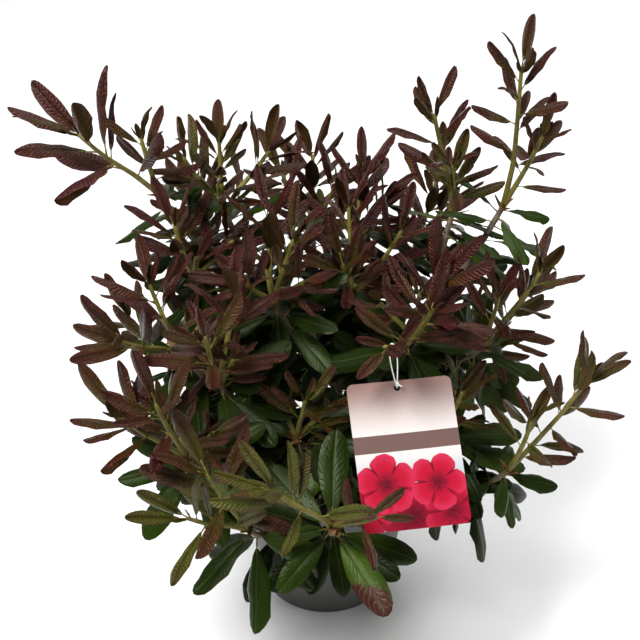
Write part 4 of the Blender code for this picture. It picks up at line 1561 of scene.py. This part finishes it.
class Growth:
    """The whole plant's limbs, shoots and leaves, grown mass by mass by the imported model's rule."""

    second_try = 0.85
    spacing = 0.010
    wide_spacing = 0.011
    tuft_spacing = 0.004
    tuft_leaves = 3
    twiglet_turns = (-110, 110)
    inner_leaves = 14
    inner_top = 0.040
    inner_top_share = 0.4

    def __init__(self, label: "HangLabel") -> None:
        """Grows everything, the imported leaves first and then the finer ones.

        Args:
            label: the card, whose view stays free.
        """
        self.room = Room(label)
        self.paths = {"trunk": trunk_path()}
        waiting = list(MASSES)
        while waiting:
            for mass in [mass for mass in waiting if mass.parent in self.paths]:
                self.paths[mass.name] = mass_path(mass, self.paths[mass.parent])
                waiting.remove(mass)
        self.shoots: dict[str, list[Path]] = {}
        self.leaves: dict[str, list[Leaf]] = {}
        self.missed: dict[str, list[tuple[Kind, float, Perch]]] = {}
        for mass in MASSES:
            self.grow_packed(mass)
        log.info("packed leaves: %d", self.leaf_count())
        self.wither_hanging_leaf()
        for mass in MASSES:
            self.grow_finer(mass)
        log.info("all leaves: %d", self.leaf_count())

    def leaf_count(self) -> int:
        """The number of leaves so far."""
        return sum(map(len, self.leaves.values()))

    def wither_hanging_leaf(self) -> None:
        """Marks the leaf that hangs down over the pot's front as withered towards its tip."""
        way = unit_vector(HANGING_BEARING, HANGING_LEAN)
        ring = [leaf for leaf in self.leaves["front_centre"] if leaf.kind is Kind.MATURE]
        max(ring, key=lambda leaf: leaf.along.dot(way)).blight = 1.0

    def keep(self, mass: Mass, leaf: Leaf) -> None:
        """Adds a leaf to its mass."""
        self.leaves[mass.name].append(leaf)
        self.room.add(leaf)

    def grow_packed(self, mass: Mass) -> None:
        """Grows the leaves that the mass's solid holds, and notes those that found no room there.

        Args:
            mass: the mass.
        """
        draw = random.Random(mass.name)
        shades = random.Random(mass.name + " shades")
        node = frame["nodes"]["foliage_" + mass.name]
        corners = KDTree(len(node.data.vertices))
        for index, vertex in enumerate(node.data.vertices):
            corners.insert(vertex.co, index)
        corners.balance()
        path = self.paths[mass.name]
        # Painted shade: ring leaves take darker tones the nearer their mass lies to the crown's middle
        shade_free_share = min(1.0, math.hypot(*mass.node[:2]) / PAINTED_SHADE_RADIUS) ** 2
        plans = [
            (Kind.MATURE, shades.uniform(*RING_TONES) + 0.5 * shade_free_share, perch)
            for perch in ring_leaves(mass, path, draw)
        ]
        ways = [shoot_path(Vector(mass.node), shoot, path.axis(1.0)) for shoot in mass.shoots]
        for shoot, way in zip(mass.shoots, ways):
            plans += [(Kind.YOUNG, shoot.tone.value, perch) for perch in shoot_leaves(shoot, way, draw)]
        self.shoots[mass.name], self.leaves[mass.name], self.missed[mass.name] = ways, [], []
        for kind, tone, perch in plans:
            tries = perch.leaves(kind, tone + shades.uniform(*TONE_SPREAD))
            leaf = next((leaf for leaf in tries if corners.find(leaf.spot(1.0))[2] < TIP_TOLERANCE), None)
            if leaf:
                self.keep(mass, leaf)
            else:
                smaller = replace(perch, length=perch.length * self.second_try)
                self.missed[mass.name].append((kind, tone, smaller))

    def try_leaf(self, mass: Mass, perch: Perch, kind: Kind, tone: float, spacing: float) -> None:
        """Adds a finer leaf at the first nudge that has room.

        Args:
            mass: the mass that it belongs to.
            perch: its place.
            kind: its kind.
            tone: its tone.
            spacing: the least distance to any other leaf's midline.
        """
        leaf = next((leaf for leaf in perch.leaves(kind, tone) if self.room.suits(leaf, spacing)), None)
        if leaf:
            self.keep(mass, leaf)

    def grow_finer(self, mass: Mass) -> None:
        """Grows what the solid leaves out: tip tufts, small side shoots and leaves deeper in the crown.

        Args:
            mass: the mass.
        """
        draw = random.Random(mass.name + " finer")
        path = self.paths[mass.name]
        for kind, tone, perch in self.missed[mass.name]:
            self.try_leaf(mass, perch, kind, tone, self.spacing)
        for shoot, way in zip(mass.shoots, self.shoots[mass.name]):
            self.grow_between(mass, shoot, way, draw)
            self.grow_tuft(mass, shoot.tone, way, draw)
        bearing = math.degrees(math.atan2(mass.node[1], mass.node[0]))
        for index, aside in enumerate(() if mass.airy else self.twiglet_turns):
            turn, lean = bearing + aside + draw.uniform(-25, 25), draw.uniform(20, 50)
            twiglet = Shoot(turn, lean, draw.uniform(0.038, 0.056), 6, draw.uniform(0.044, 0.056))
            way = shoot_path(Vector(mass.node), twiglet, path.axis(1.0))
            tone = mass.shoots[index % len(mass.shoots)].tone.value
            for perch in shoot_leaves(twiglet, way, draw):
                self.try_leaf(mass, perch, Kind.YOUNG, tone + draw.uniform(*TONE_SPREAD), self.wide_spacing)
            self.shoots[mass.name].append(way)
        low = path.before_end(min(self.inner_top, path.length() * self.inner_top_share))
        for index in range(self.inner_leaves):
            t = low * (1 - 0.66 * index / self.inner_leaves)
            spread = math.radians(60 + draw.uniform(-12, 16))
            around = index * GOLDEN_ANGLE + draw.uniform(-0.3, 0.3)
            perch = Perch(path.on_curve(t), path.axis(t), spread, around, draw.uniform(0.060, 0.088))
            # Painted shade: leaves deep in the crown take only dark tones
            self.try_leaf(mass, perch, Kind.MATURE, draw.uniform(0.0, 0.3), self.wide_spacing)

    def grow_between(self, mass: Mass, shoot: Shoot, way: Path, draw: random.Random) -> None:
        """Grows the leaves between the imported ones, closer round the shoot's top.

        Args:
            mass: the mass that they belong to.
            shoot: the shoot.
            way: its way.
            draw: the source of their unevenness.
        """
        count = 2 if mass.airy else 3
        for index in range(count):
            share = index / (count - 1)
            spread = 56 - 34 * share + draw.uniform(-8, 8)
            length = shoot.leaf_length * draw.uniform(0.60, 0.92)
            perch = way.perch(0.60 + 0.36 * share, spread, 0.9 + index * GOLDEN_ANGLE, length)
            tone = shoot.tone.value + draw.uniform(*TONE_SPREAD)
            self.try_leaf(mass, perch, Kind.YOUNG, tone, self.spacing)

    def grow_tuft(self, mass: Mass, tone: Tone, way: Path, draw: random.Random) -> None:
        """Grows the small unopened leaves round a shoot's tip.

        Args:
            mass: the mass that they belong to.
            tone: the shoot's tone.
            way: its way.
            draw: the source of their unevenness.
        """
        for index in range(self.tuft_leaves):
            around = 1.0 + index * GOLDEN_ANGLE
            perch = way.perch(0.93 + 0.02 * index, 20 - 5 * index, around, draw.uniform(0.018, 0.030))
            self.try_leaf(mass, perch, Kind.YOUNG, min(1.0, tone.value + 0.2), self.tuft_spacing)


# The plant's pieces


def attribute_points(name: str, leaves: Sequence[Leaf], variants: int, draw: random.Random) -> bpy.types.Mesh:
    """A mesh of one point a leaf.

    Args:
        name: the mesh's name.
        leaves: the leaves.
        variants: how many variants of its shape there are.
        draw: picks each leaf's variant.

    Returns:
        The mesh, with each leaf's turn, size, tone, blight and variant as attributes.
    """
    mesh = bpy.data.meshes.new(name)
    mesh.from_pydata([leaf.root for leaf in leaves], [], [])
    turns = []
    for leaf in leaves:
        axes = Matrix((leaf.along.cross(leaf.normal), leaf.along, leaf.normal))
        turns.extend(axes.transposed().to_quaternion())
    for title, kind, values in (
        ("turn", "QUATERNION", turns),
        ("size", "FLOAT", [leaf.length for leaf in leaves]),
        ("tone", "FLOAT", [leaf.tone for leaf in leaves]),
        ("blight", "FLOAT", [leaf.blight for leaf in leaves]),
        ("variant", "INT", [draw.randrange(variants) for _ in leaves]),
    ):
        mesh.attributes.new(title, kind, "POINT").data.foreach_set("value", values)
    return mesh


@dataclass(frozen=True)
class Crown:
    """The leaves, stalks, shoots and bud scales of every mass."""

    growth: Growth
    effects: Effects
    limbs: LimbTree
    variants: int = 7
    shoot_foot_radius: float = 0.0031
    shoot_tip_radius: float = 0.0020
    shoot_points: int = 14
    shoot_end: float = 0.0015
    shoot_straightness: float = 0.75
    scales_a_node: int = 12
    scale_length: float = 0.017
    all_nodes: tuple[str, ...] = tuple("foliage_" + mass.name for mass in MASSES)

    def build(self) -> None:
        """Makes the pieces of each side of the plant, then the shoots and the bud scales."""
        stalk_skin = STALK_FINISH.material(self.effects)
        looks = {}
        for kind, blade, stalk, finish in (
            (Kind.YOUNG, YOUNG_SHAPE, YOUNG_STALK, YOUNG_FINISH),
            (Kind.MATURE, MATURE_SHAPE, MATURE_STALK, MATURE_FINISH),
        ):
            age = kind.name.lower()
            blades = shape_library(age + "_blade", self.variants, blade.blade)
            stalks = shape_library(age + "_stalk", self.variants, stalk.mesh)
            looks[kind] = {
                "leaves": {"Shapes": blades, "Material": finish.material(self.effects)},
                "stalks": {"Shapes": stalks, "Material": stalk_skin},
            }
        tree = SprayTree()
        for side in Side:
            masses = [mass for mass in MASSES if mass.side is side]
            nodes = ["foliage_" + mass.name for mass in masses]
            leaves = [leaf for mass in masses for leaf in self.growth.leaves[mass.name]]
            for kind, parts in looks.items():
                age, where = kind.name.lower(), side.name.lower()
                draw = random.Random(f"{age}_leaves_{where}")
                chosen = [leaf for leaf in leaves if leaf.kind is kind]
                points = attribute_points("leaf_points", chosen, self.variants, draw)
                for part, look in parts.items():
                    piece = tree.make(f"{age}_{part}_{where}", points.copy(), SizeDrift=0.0, Seed=3, **look)
                    hand_over(piece, "foliage", *nodes)
        for look in (look for parts in looks.values() for look in parts.values()):
            clear_away(look["Shapes"])
        self.build_shoots()
        self.build_scales(tree)

    def build_shoots(self) -> None:
        """Makes the new shoots' green stems, as one piece."""
        slim = self.shoot_foot_radius - self.shoot_tip_radius
        shares = [index / self.shoot_points for index in range(self.shoot_points + 1)]
        radii = [self.shoot_foot_radius - slim * t for t in shares] + [self.shoot_tip_radius * 0.3]
        ways = []
        for way in (way for mass in MASSES for way in self.growth.shoots[mass.name]):
            spots = [way.between(t, self.shoot_straightness) for t in shares]
            spots.append(spots[-1] + way.axis(1.0) * self.shoot_end)
            ways.append((spots, radii))
        skin = SHOOT_FINISH.material(self.effects)
        piece = self.limbs.wrap("new_shoots", ways, Sides=8, Relief=0.0006, Grain=420.0, Material=skin)
        hand_over(piece, "foliage", *self.all_nodes)

    def build_scales(self, tree: SprayTree) -> None:
        """Makes the papery bud scales that stay round the foot of the new shoots.

        Args:
            tree: the tree that sets them on their points.
        """
        scales = []
        for mass in MASSES:
            draw = random.Random(mass.name + " scales")
            path = self.growth.paths[mass.name]
            for index in range(self.scales_a_node):
                t = 1.0 - 0.012 * index / self.scales_a_node
                spread = math.radians(draw.uniform(18, 62))
                along, normal = leaf_frame(path.axis(t), index * GOLDEN_ANGLE, spread, 0.0)
                length = self.scale_length * draw.uniform(0.6, 1.25)
                scales.append(Leaf(Kind.YOUNG, path.at(t), along, normal, length, 0.5))
        shapes = shape_library("bud_scale", self.variants, SCALE_SHAPE.blade)
        points = attribute_points("scale_points", scales, self.variants, random.Random("scales"))
        skin = SCALE_FINISH.material(self.effects)
        piece = tree.make("bud_scales", points, Shapes=shapes, Material=skin, SizeDrift=0.2, Seed=5)
        hand_over(piece, "foliage", *self.all_nodes)
        clear_away(shapes)


@dataclass(frozen=True)
class WoodyFrame:
    """The trunk, the boughs and last year's twigs, with a flare where each leaves its parent."""

    growth: Growth
    effects: Effects
    limbs: LimbTree
    collar: float = 0.55
    collar_reach: float = 0.016
    scar_step: float = 0.011
    scar_swell: float = 0.10
    point_step: float = 0.0028
    stem_radius: float = 0.0029
    straightness: float = 0.6
    widest_foot: float = 1.35

    def limb(self, path: Path, foot_radius: float, tip_radius: float) -> Way:
        """Follows one limb.

        Args:
            path: the limb's way.
            foot_radius: its radius at its foot.
            tip_radius: its radius at its end.

        Returns:
            Its points and radii, swollen at its foot and at its leaf scars.
        """
        count = int(path.length() / self.point_step)
        spots, radii = [], []
        for index in range(count + 1):
            t = index / count
            distance = t * path.length()
            collar = 1 + self.collar * math.exp(-((distance / self.collar_reach) ** 2))
            scar = 1 + self.scar_swell * max(0.0, math.cos(math.tau * distance / self.scar_step)) ** 6
            spots.append(path.between(t, self.straightness))
            radii.append((foot_radius + (tip_radius - foot_radius) * t) * collar * scar)
        return spots, radii

    def build(self) -> None:
        """Makes the one piece that replaces the trunk and every bough."""
        trunk = self.growth.paths["trunk"]
        spots, radii = self.limb(trunk, TRUNK_FOOT_RADIUS, TRUNK_TOP_RADIUS)
        spots.append(spots[-1] + trunk.axis(1.0) * 0.004)
        radii.append(TRUNK_TOP_RADIUS * 0.55)
        ways = [(spots, [min(radius, TRUNK_FOOT_RADIUS * self.widest_foot) for radius in radii])]
        for mass in MASSES:
            ways.append(self.limb(self.growth.paths[mass.name], mass.foot_radius, self.stem_radius))
        skin = BARK_FINISH.material(self.effects)
        piece = self.limbs.wrap("woody_frame", ways, Sides=14, Relief=0.0016, Grain=210.0, Material=skin)
        hand_over(piece, "bark", "trunk", *("bough_" + mass.name for mass in MASSES))


def wall_radius(height: float) -> float:
    """The outer radius of the pot's wall at a height under its band."""
    return POT_FOOT_RADIUS + POT_SLOPE * height


@dataclass(frozen=True)
class Ground:
    """What the pot and the soil share: the shader groups, the crumbs, their tree and the soil's skin."""

    effects: Effects
    crumbs: bpy.types.Collection
    scatter: ScatterTree
    soil: bpy.types.Material

    def strew(self, name: str, carrier: bpy.types.Mesh, **values: float) -> None:
        """Strews crumbs over a surface, as a piece of its own.

        Args:
            name: the piece's name.
            carrier: the surface.
            values: the tree's density, sizes and seed by name.
        """
        piece = self.scatter.make(name, carrier, Crumbs=self.crumbs, Material=self.soil, **values)
        hand_over(piece, "potting_soil")


@dataclass(frozen=True)
class NurseryPot:
    """The pot: a flat foot, a slanting wall, a stepped band under the rim, and specks of soil on it."""

    sides: int = 128
    wall_rings: int = 9
    rim_round: float = 0.0008
    rim_steps: int = 6
    floor: float = 0.004

    def profile(self) -> list[tuple[float, float]]:
        """The pot's outline from the centre of its foot round to the centre of its floor.

        Returns:
            Pairs of radius and height.
        """
        foot, rim, wall_top = POT_FOOT_RADIUS, POT_RIM_RADIUS, wall_radius(BAND_FOOT)
        outline = [(0.0, 0.0015), (foot * 0.8, 0.0012), (foot - 0.004, 0.0), (foot - 0.0015, 0.0),
                   (foot - 0.0004, 0.0005), (foot, 0.0015)]
        heights = [BAND_FOOT * index / self.wall_rings for index in range(1, self.wall_rings + 1)]
        outline += [(wall_radius(height), height) for height in heights]
        outline += [(wall_top + 0.0006, BAND_FOOT + 0.0002), (rim - 0.0006, BAND_FOOT + 0.0009),
                    (rim, BAND_FOOT + 0.0018)]
        for step in range(self.rim_steps + 1):
            angle = math.pi * step / self.rim_steps
            outline.append((rim - self.rim_round + self.rim_round * math.cos(angle),
                            POT_HEIGHT - self.rim_round + self.rim_round * math.sin(angle)))
        outline += [(rim - 0.0022, POT_HEIGHT - 0.002), (wall_top - POT_WALL, BAND_FOOT - 0.002),
                    (foot - POT_WALL, self.floor), (0.0, self.floor)]
        return outline

    def build(self, ground: Ground) -> None:
        """Makes the pot and the specks that cling to its outside.

        Args:
            ground: what it shares with the soil.
        """
        mesh = turned_mesh("nursery_pot", self.profile(), self.sides)
        mesh.materials.append(PotFinish().material(ground.effects))
        hand_over(place_piece("nursery_pot", mesh), "pot", "pot")
        wall = turned_mesh("pot_wall", self.profile()[5:-3], self.sides)
        ground.strew("pot_specks", wall, Density=420.0, Smallest=0.0004, Largest=0.0016, Seed=11)


@dataclass(frozen=True)
class SoilBed:
    """The uneven top of the potting soil, with crumbs strewn over it."""

    rings: int = 26
    sides: int = 96
    heave: float = 0.0022
    waves: int = 7
    foot: float = 0.0045
    crown: float = 0.004

    def build(self, ground: Ground) -> None:
        """Makes the soil and its crumbs.

        Args:
            ground: what it shares with the pot.
        """
        top_radius = wall_radius(SOIL_LEVEL - self.crown) - (POT_WALL + 2 * CLEARANCE)
        profile = [(0.0, self.foot), (POT_FOOT_RADIUS - 0.004, self.foot), (top_radius, SOIL_LEVEL - 0.005)]
        shares = [1 - (index + 1) / self.rings for index in range(self.rings)]
        profile += [(top_radius * share, SOIL_LEVEL - self.crown * share**4) for share in shares]
        mesh = turned_mesh("potting_soil_bed", profile, self.sides)
        draw = random.Random("soil")
        ranges = (60, 260), (60, 260), (0, math.tau)
        waves = [[draw.uniform(*limits) for limits in ranges] for _ in range(self.waves)]
        for vertex in mesh.vertices:
            if vertex.co.z > SOIL_LEVEL - 0.0045:
                lift = sum(math.sin(a * vertex.co.x + b * vertex.co.y + c) for a, b, c in waves) / len(waves)
                vertex.co.z += self.heave * lift - self.heave * 0.6
        mesh.materials.append(ground.soil)
        hand_over(place_piece("potting_soil_bed", mesh), "potting_soil", "potting_soil")
        top = self.top_only(mesh)
        ground.strew("soil_crumbs", top, Density=52000.0, Smallest=0.0012, Largest=0.0052, Seed=7)

    @staticmethod
    def top_only(mesh: bpy.types.Mesh) -> bpy.types.Mesh:
        """A copy of the bed with only its top faces.

        Args:
            mesh: the bed.

        Returns:
            The copy.
        """
        shape = bmesh.new()
        shape.from_mesh(mesh)
        low = [face for face in shape.faces if face.calc_center_median().z < SOIL_LEVEL - 0.008]
        bmesh.ops.delete(shape, geom=low, context="FACES")
        return mesh_of(shape, "soil_top")


@dataclass(frozen=True)
class HangLabel:
    """The printed card on its white loop."""

    width: float = 0.100
    height: float = 0.140
    thickness: float = 0.0008
    corner: float = 0.006
    centre: tuple[float, float, float] = (0.075, -0.200, 0.331)
    yaw: float = 8.0
    lean: float = 48.0
    roll: float = -1.0
    hole_radius: float = 0.003
    hole_below_top: float = 0.007
    hole_aside: float = -0.002
    hole_sides: int = 32
    corner_steps: int = 8
    free_depth: float = 0.10
    bow: float = 0.0012
    cuts: int = 11

    def place(self) -> Matrix:
        """The card's frame: X to its right, Y up its face, Z out of its face.

        Returns:
            The matrix from the card's frame to the plant's.
        """
        turn = Matrix.Rotation(math.radians(self.yaw), 4, "Z")
        lean = Matrix.Rotation(math.radians(90 - self.lean), 4, "X")
        roll = Matrix.Rotation(math.radians(-self.roll), 4, "Z")
        return Matrix.Translation(self.centre) @ turn @ lean @ roll

    def hole(self) -> Vector:
        """The hole's centre, in the card's frame."""
        return Vector((self.hole_aside, self.height / 2 - self.hole_below_top, 0.0))

    def outline(self) -> list[tuple[float, float]]:
        """The card's edge, with round corners.

        Returns:
            Its points in the card's frame.
        """
        across, up = self.width / 2 - self.corner, self.height / 2 - self.corner
        points = []
        for quarter, (sx, sy) in enumerate(((1, 1), (-1, 1), (-1, -1), (1, -1))):
            for step in range(self.corner_steps + 1):
                angle = math.pi / 2 * (quarter + step / self.corner_steps)
                bend = Vector((math.cos(angle), math.sin(angle))) * self.corner
                points.append((sx * across + bend.x, sy * up + bend.y))
        return points

    def build(self, effects: Effects) -> None:
        """Makes the card, slightly bowed, with its print on both sides.

        Args:
            effects: the shared shader groups.
        """
        hole, radius = self.hole(), self.hole_radius
        angles = [math.tau * index / self.hole_sides for index in range(self.hole_sides)]
        ring = [(hole.x + radius * math.cos(angle), hole.y + radius * math.sin(angle)) for angle in angles]
        shape = bmesh.new()
        edges = []
        for loop in (self.outline(), ring):
            corners = [shape.verts.new((x, y, 0.0)) for x, y in loop]
            edges += [shape.edges.new(pair) for pair in zip(corners, corners[1:] + corners[:1])]
        bmesh.ops.triangle_fill(shape, edges=edges, use_beauty=True)
        for axis, span in ((0, self.width), (1, self.height)):
            for index in range(1, self.cuts):
                spot, direction = Vector(), Vector()
                spot[axis] = span * (index / self.cuts - 0.5)
                direction[axis] = 1.0
                geometry = [*shape.verts, *shape.edges, *shape.faces]
                bmesh.ops.bisect_plane(shape, geom=geometry, plane_co=spot, plane_no=direction)
        bmesh.ops.recalc_face_normals(shape, faces=shape.faces)
        bmesh.ops.solidify(shape, geom=list(shape.faces), thickness=self.thickness)
        heights = [corner.co.z for corner in shape.verts]
        middle = (max(heights) + min(heights)) / 2
        uv_layer = shape.loops.layers.uv.new("UVMap")
        for loop in (loop for face in shape.faces for loop in face.loops):
            spot = loop.vert.co
            loop[uv_layer].uv = (spot.x / self.width + 0.5, spot.y / self.height + 0.5)
        for corner in shape.verts:
            share = corner.co.x / (self.width / 2)
            corner.co.z += self.bow * (share * share - 0.4) - middle
        bmesh.ops.recalc_face_normals(shape, faces=shape.faces)
        # The rim's faces come out in another order each run, so all faces are put in one order
        ordered = sorted(shape.faces, key=lambda face: tuple(face.calc_center_median()))
        places = {face: place for place, face in enumerate(ordered)}
        shape.faces.sort(key=places.get)
        mesh = mesh_of(shape, "hang_label_card")
        mesh.transform(self.place())
        mesh.materials.append(CardFinish().material(effects, self.height / self.width))
        hand_over(place_piece("hang_label_card", mesh), "hang_label", "hang_label")


@dataclass(frozen=True)
class LabelString:
    """The white loop through the card's hole and over its shoot, with a small knot."""

    radius: float = 0.0006
    half_width: float = 0.0045
    points: int = 96
    shoot_radius: float = 0.0019
    carrier: str = "crown_right"
    carrier_shoot: int = 0
    carried_at: float = 0.8
    knot_turns: float = 2.5
    knot_radius: float = 0.0013
    knot_length: float = 0.0035
    knot_steps: int = 29
    tail_step: float = 0.0018
    tail_steps: int = 4

    def build(self, label: HangLabel, growth: Growth, effects: Effects, limbs: LimbTree) -> None:
        """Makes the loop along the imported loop's way.

        Args:
            label: the card that hangs on it.
            growth: the plant, for the shoot that carries it.
            effects: the shared shader groups.
            limbs: the tree that wraps a skin round it.
        """
        shoot = growth.shoots[self.carrier][self.carrier_shoot]
        axis = shoot.axis(self.carried_at)
        lift = (UP - axis * axis.z).normalized()
        hook = shoot.at(self.carried_at) + lift * (self.shoot_radius + self.radius + CLEARANCE)
        hole = label.place() @ label.hole()
        face = (label.place().to_3x3() @ UP).normalized()
        rise = hook - hole
        up = rise.normalized()
        over = up.cross(axis).normalized()
        if over.dot(face) < 0:
            over.negate()
        loop = []
        for index in range(self.points):
            angle = math.tau * index / self.points
            share = (1 + math.cos(angle)) / 2
            aside = (face * (1 - share) + over * share).normalized()
            spot = hole + rise / 2 + up * (rise.length / 2) * math.cos(angle)
            loop.append(spot + aside * self.half_width * math.sin(angle))
        loop.append(loop[0])
        knot_foot = loop[self.points * 5 // 12]
        knot = []
        for share in (index / self.knot_steps for index in range(self.knot_steps + 1)):
            angle = math.tau * self.knot_turns * share
            spin = over * math.cos(angle) + up.cross(over) * math.sin(angle)
            knot.append(knot_foot + spin * self.knot_radius + up * self.knot_length * (share - 0.5))
        way_off = (up * -0.6 + over * 0.8) * self.tail_step
        knot += [knot[-1] + way_off * step for step in range(1, self.tail_steps + 1)]
        ways = [(points, [self.radius] * len(points)) for points in (loop, knot)]
        skin = STRING_FINISH.material(effects)
        piece = limbs.wrap("label_loop", ways, Sides=10, Relief=0.0001, Grain=2500.0, Material=skin)
        hand_over(piece, "label_string", "label_string")


@dataclass(frozen=True)
class Studio:
    """The pale floor, the soft lights and the camera."""

    camera_place: tuple[float, float, float] = (-0.007, -1.224, 1.144)
    camera_pitch: float = 57.0
    lens: float = 78.75
    floor_size: float = 14.0
    sky: float = 0.13
    aim: tuple[float, float, float] = (0.0, 0.0, 0.3)
    lights: tuple[tuple[tuple[float, float, float], float, float], ...] = (
        ((-0.8, -0.8, 2.2), 0.9, 84.0), ((1.3, -0.5, 1.8), 0.8, 20.0), ((0.2, 1.7, 2.4), 2.4, 60.0),
    )

    @staticmethod
    def hold(name: str, data: bpy.types.ID, spot: Sequence[float], turn: Sequence[float]) -> bpy.types.Object:
        """Puts a light or a camera into the scene.

        Args:
            name: its name.
            data: the light or the camera.
            spot: its place.
            turn: its Euler angles.

        Returns:
            The object that holds it.
        """
        holder = place_piece(name, data)
        holder.location = spot
        holder.rotation_euler = turn
        return holder

    def build(self) -> None:
        """Sets everything up around the plant."""
        scene = bpy.context.scene
        half = self.floor_size / 2
        corners = [(-half, -half, 0), (half, -half, 0), (half, half, 0), (-half, half, 0)]
        mesh = bpy.data.meshes.new("floor")
        mesh.from_pydata(corners, [], [(0, 1, 2, 3)])
        mesh.materials.append(FloorFinish().material())
        place_piece("floor", mesh)
        for index, (spot, size, power) in enumerate(self.lights):
            name = f"softbox_{index}"
            lamp = bpy.data.lights.new(name, "AREA")
            lamp.size = size
            lamp.energy = power
            self.hold(name, lamp, spot, (Vector(spot) - Vector(self.aim)).to_track_quat("Z", "Y").to_euler())
        scene.world = bpy.data.worlds.new("studio_air")
        scene.world.use_nodes = True
        air = scene.world.node_tree.nodes["Background"].inputs
        air["Color"].default_value = (1.0, 1.0, 1.0, 1.0)
        air["Strength"].default_value = self.sky
        scene.view_settings.view_transform = "Standard"
        camera = bpy.data.cameras.new("camera")
        camera.lens = self.lens
        pitch = math.radians(self.camera_pitch)
        scene.camera = self.hold("camera", camera, self.camera_place, (pitch, 0.0, 0.0))


def main() -> None:
    """Builds the plant, its pot, its label and the studio."""
    logging.basicConfig(level=logging.INFO, format="%(name)s: %(message)s")
    effects = Effects()
    Studio().build()
    label = HangLabel()
    growth = Growth(label)
    limbs = LimbTree()
    crumbs = shape_library("crumbs", 5, crumb_mesh)
    ground = Ground(effects, crumbs, ScatterTree(), SOIL_FINISH.material(effects))
    NurseryPot().build(ground)
    SoilBed().build(ground)
    clear_away(crumbs)
    WoodyFrame(growth, effects, limbs).build()
    Crown(growth, effects, limbs).build()
    label.build(effects)
    LabelString().build(label, growth, effects, limbs)


if __name__ == "__main__":
    main()
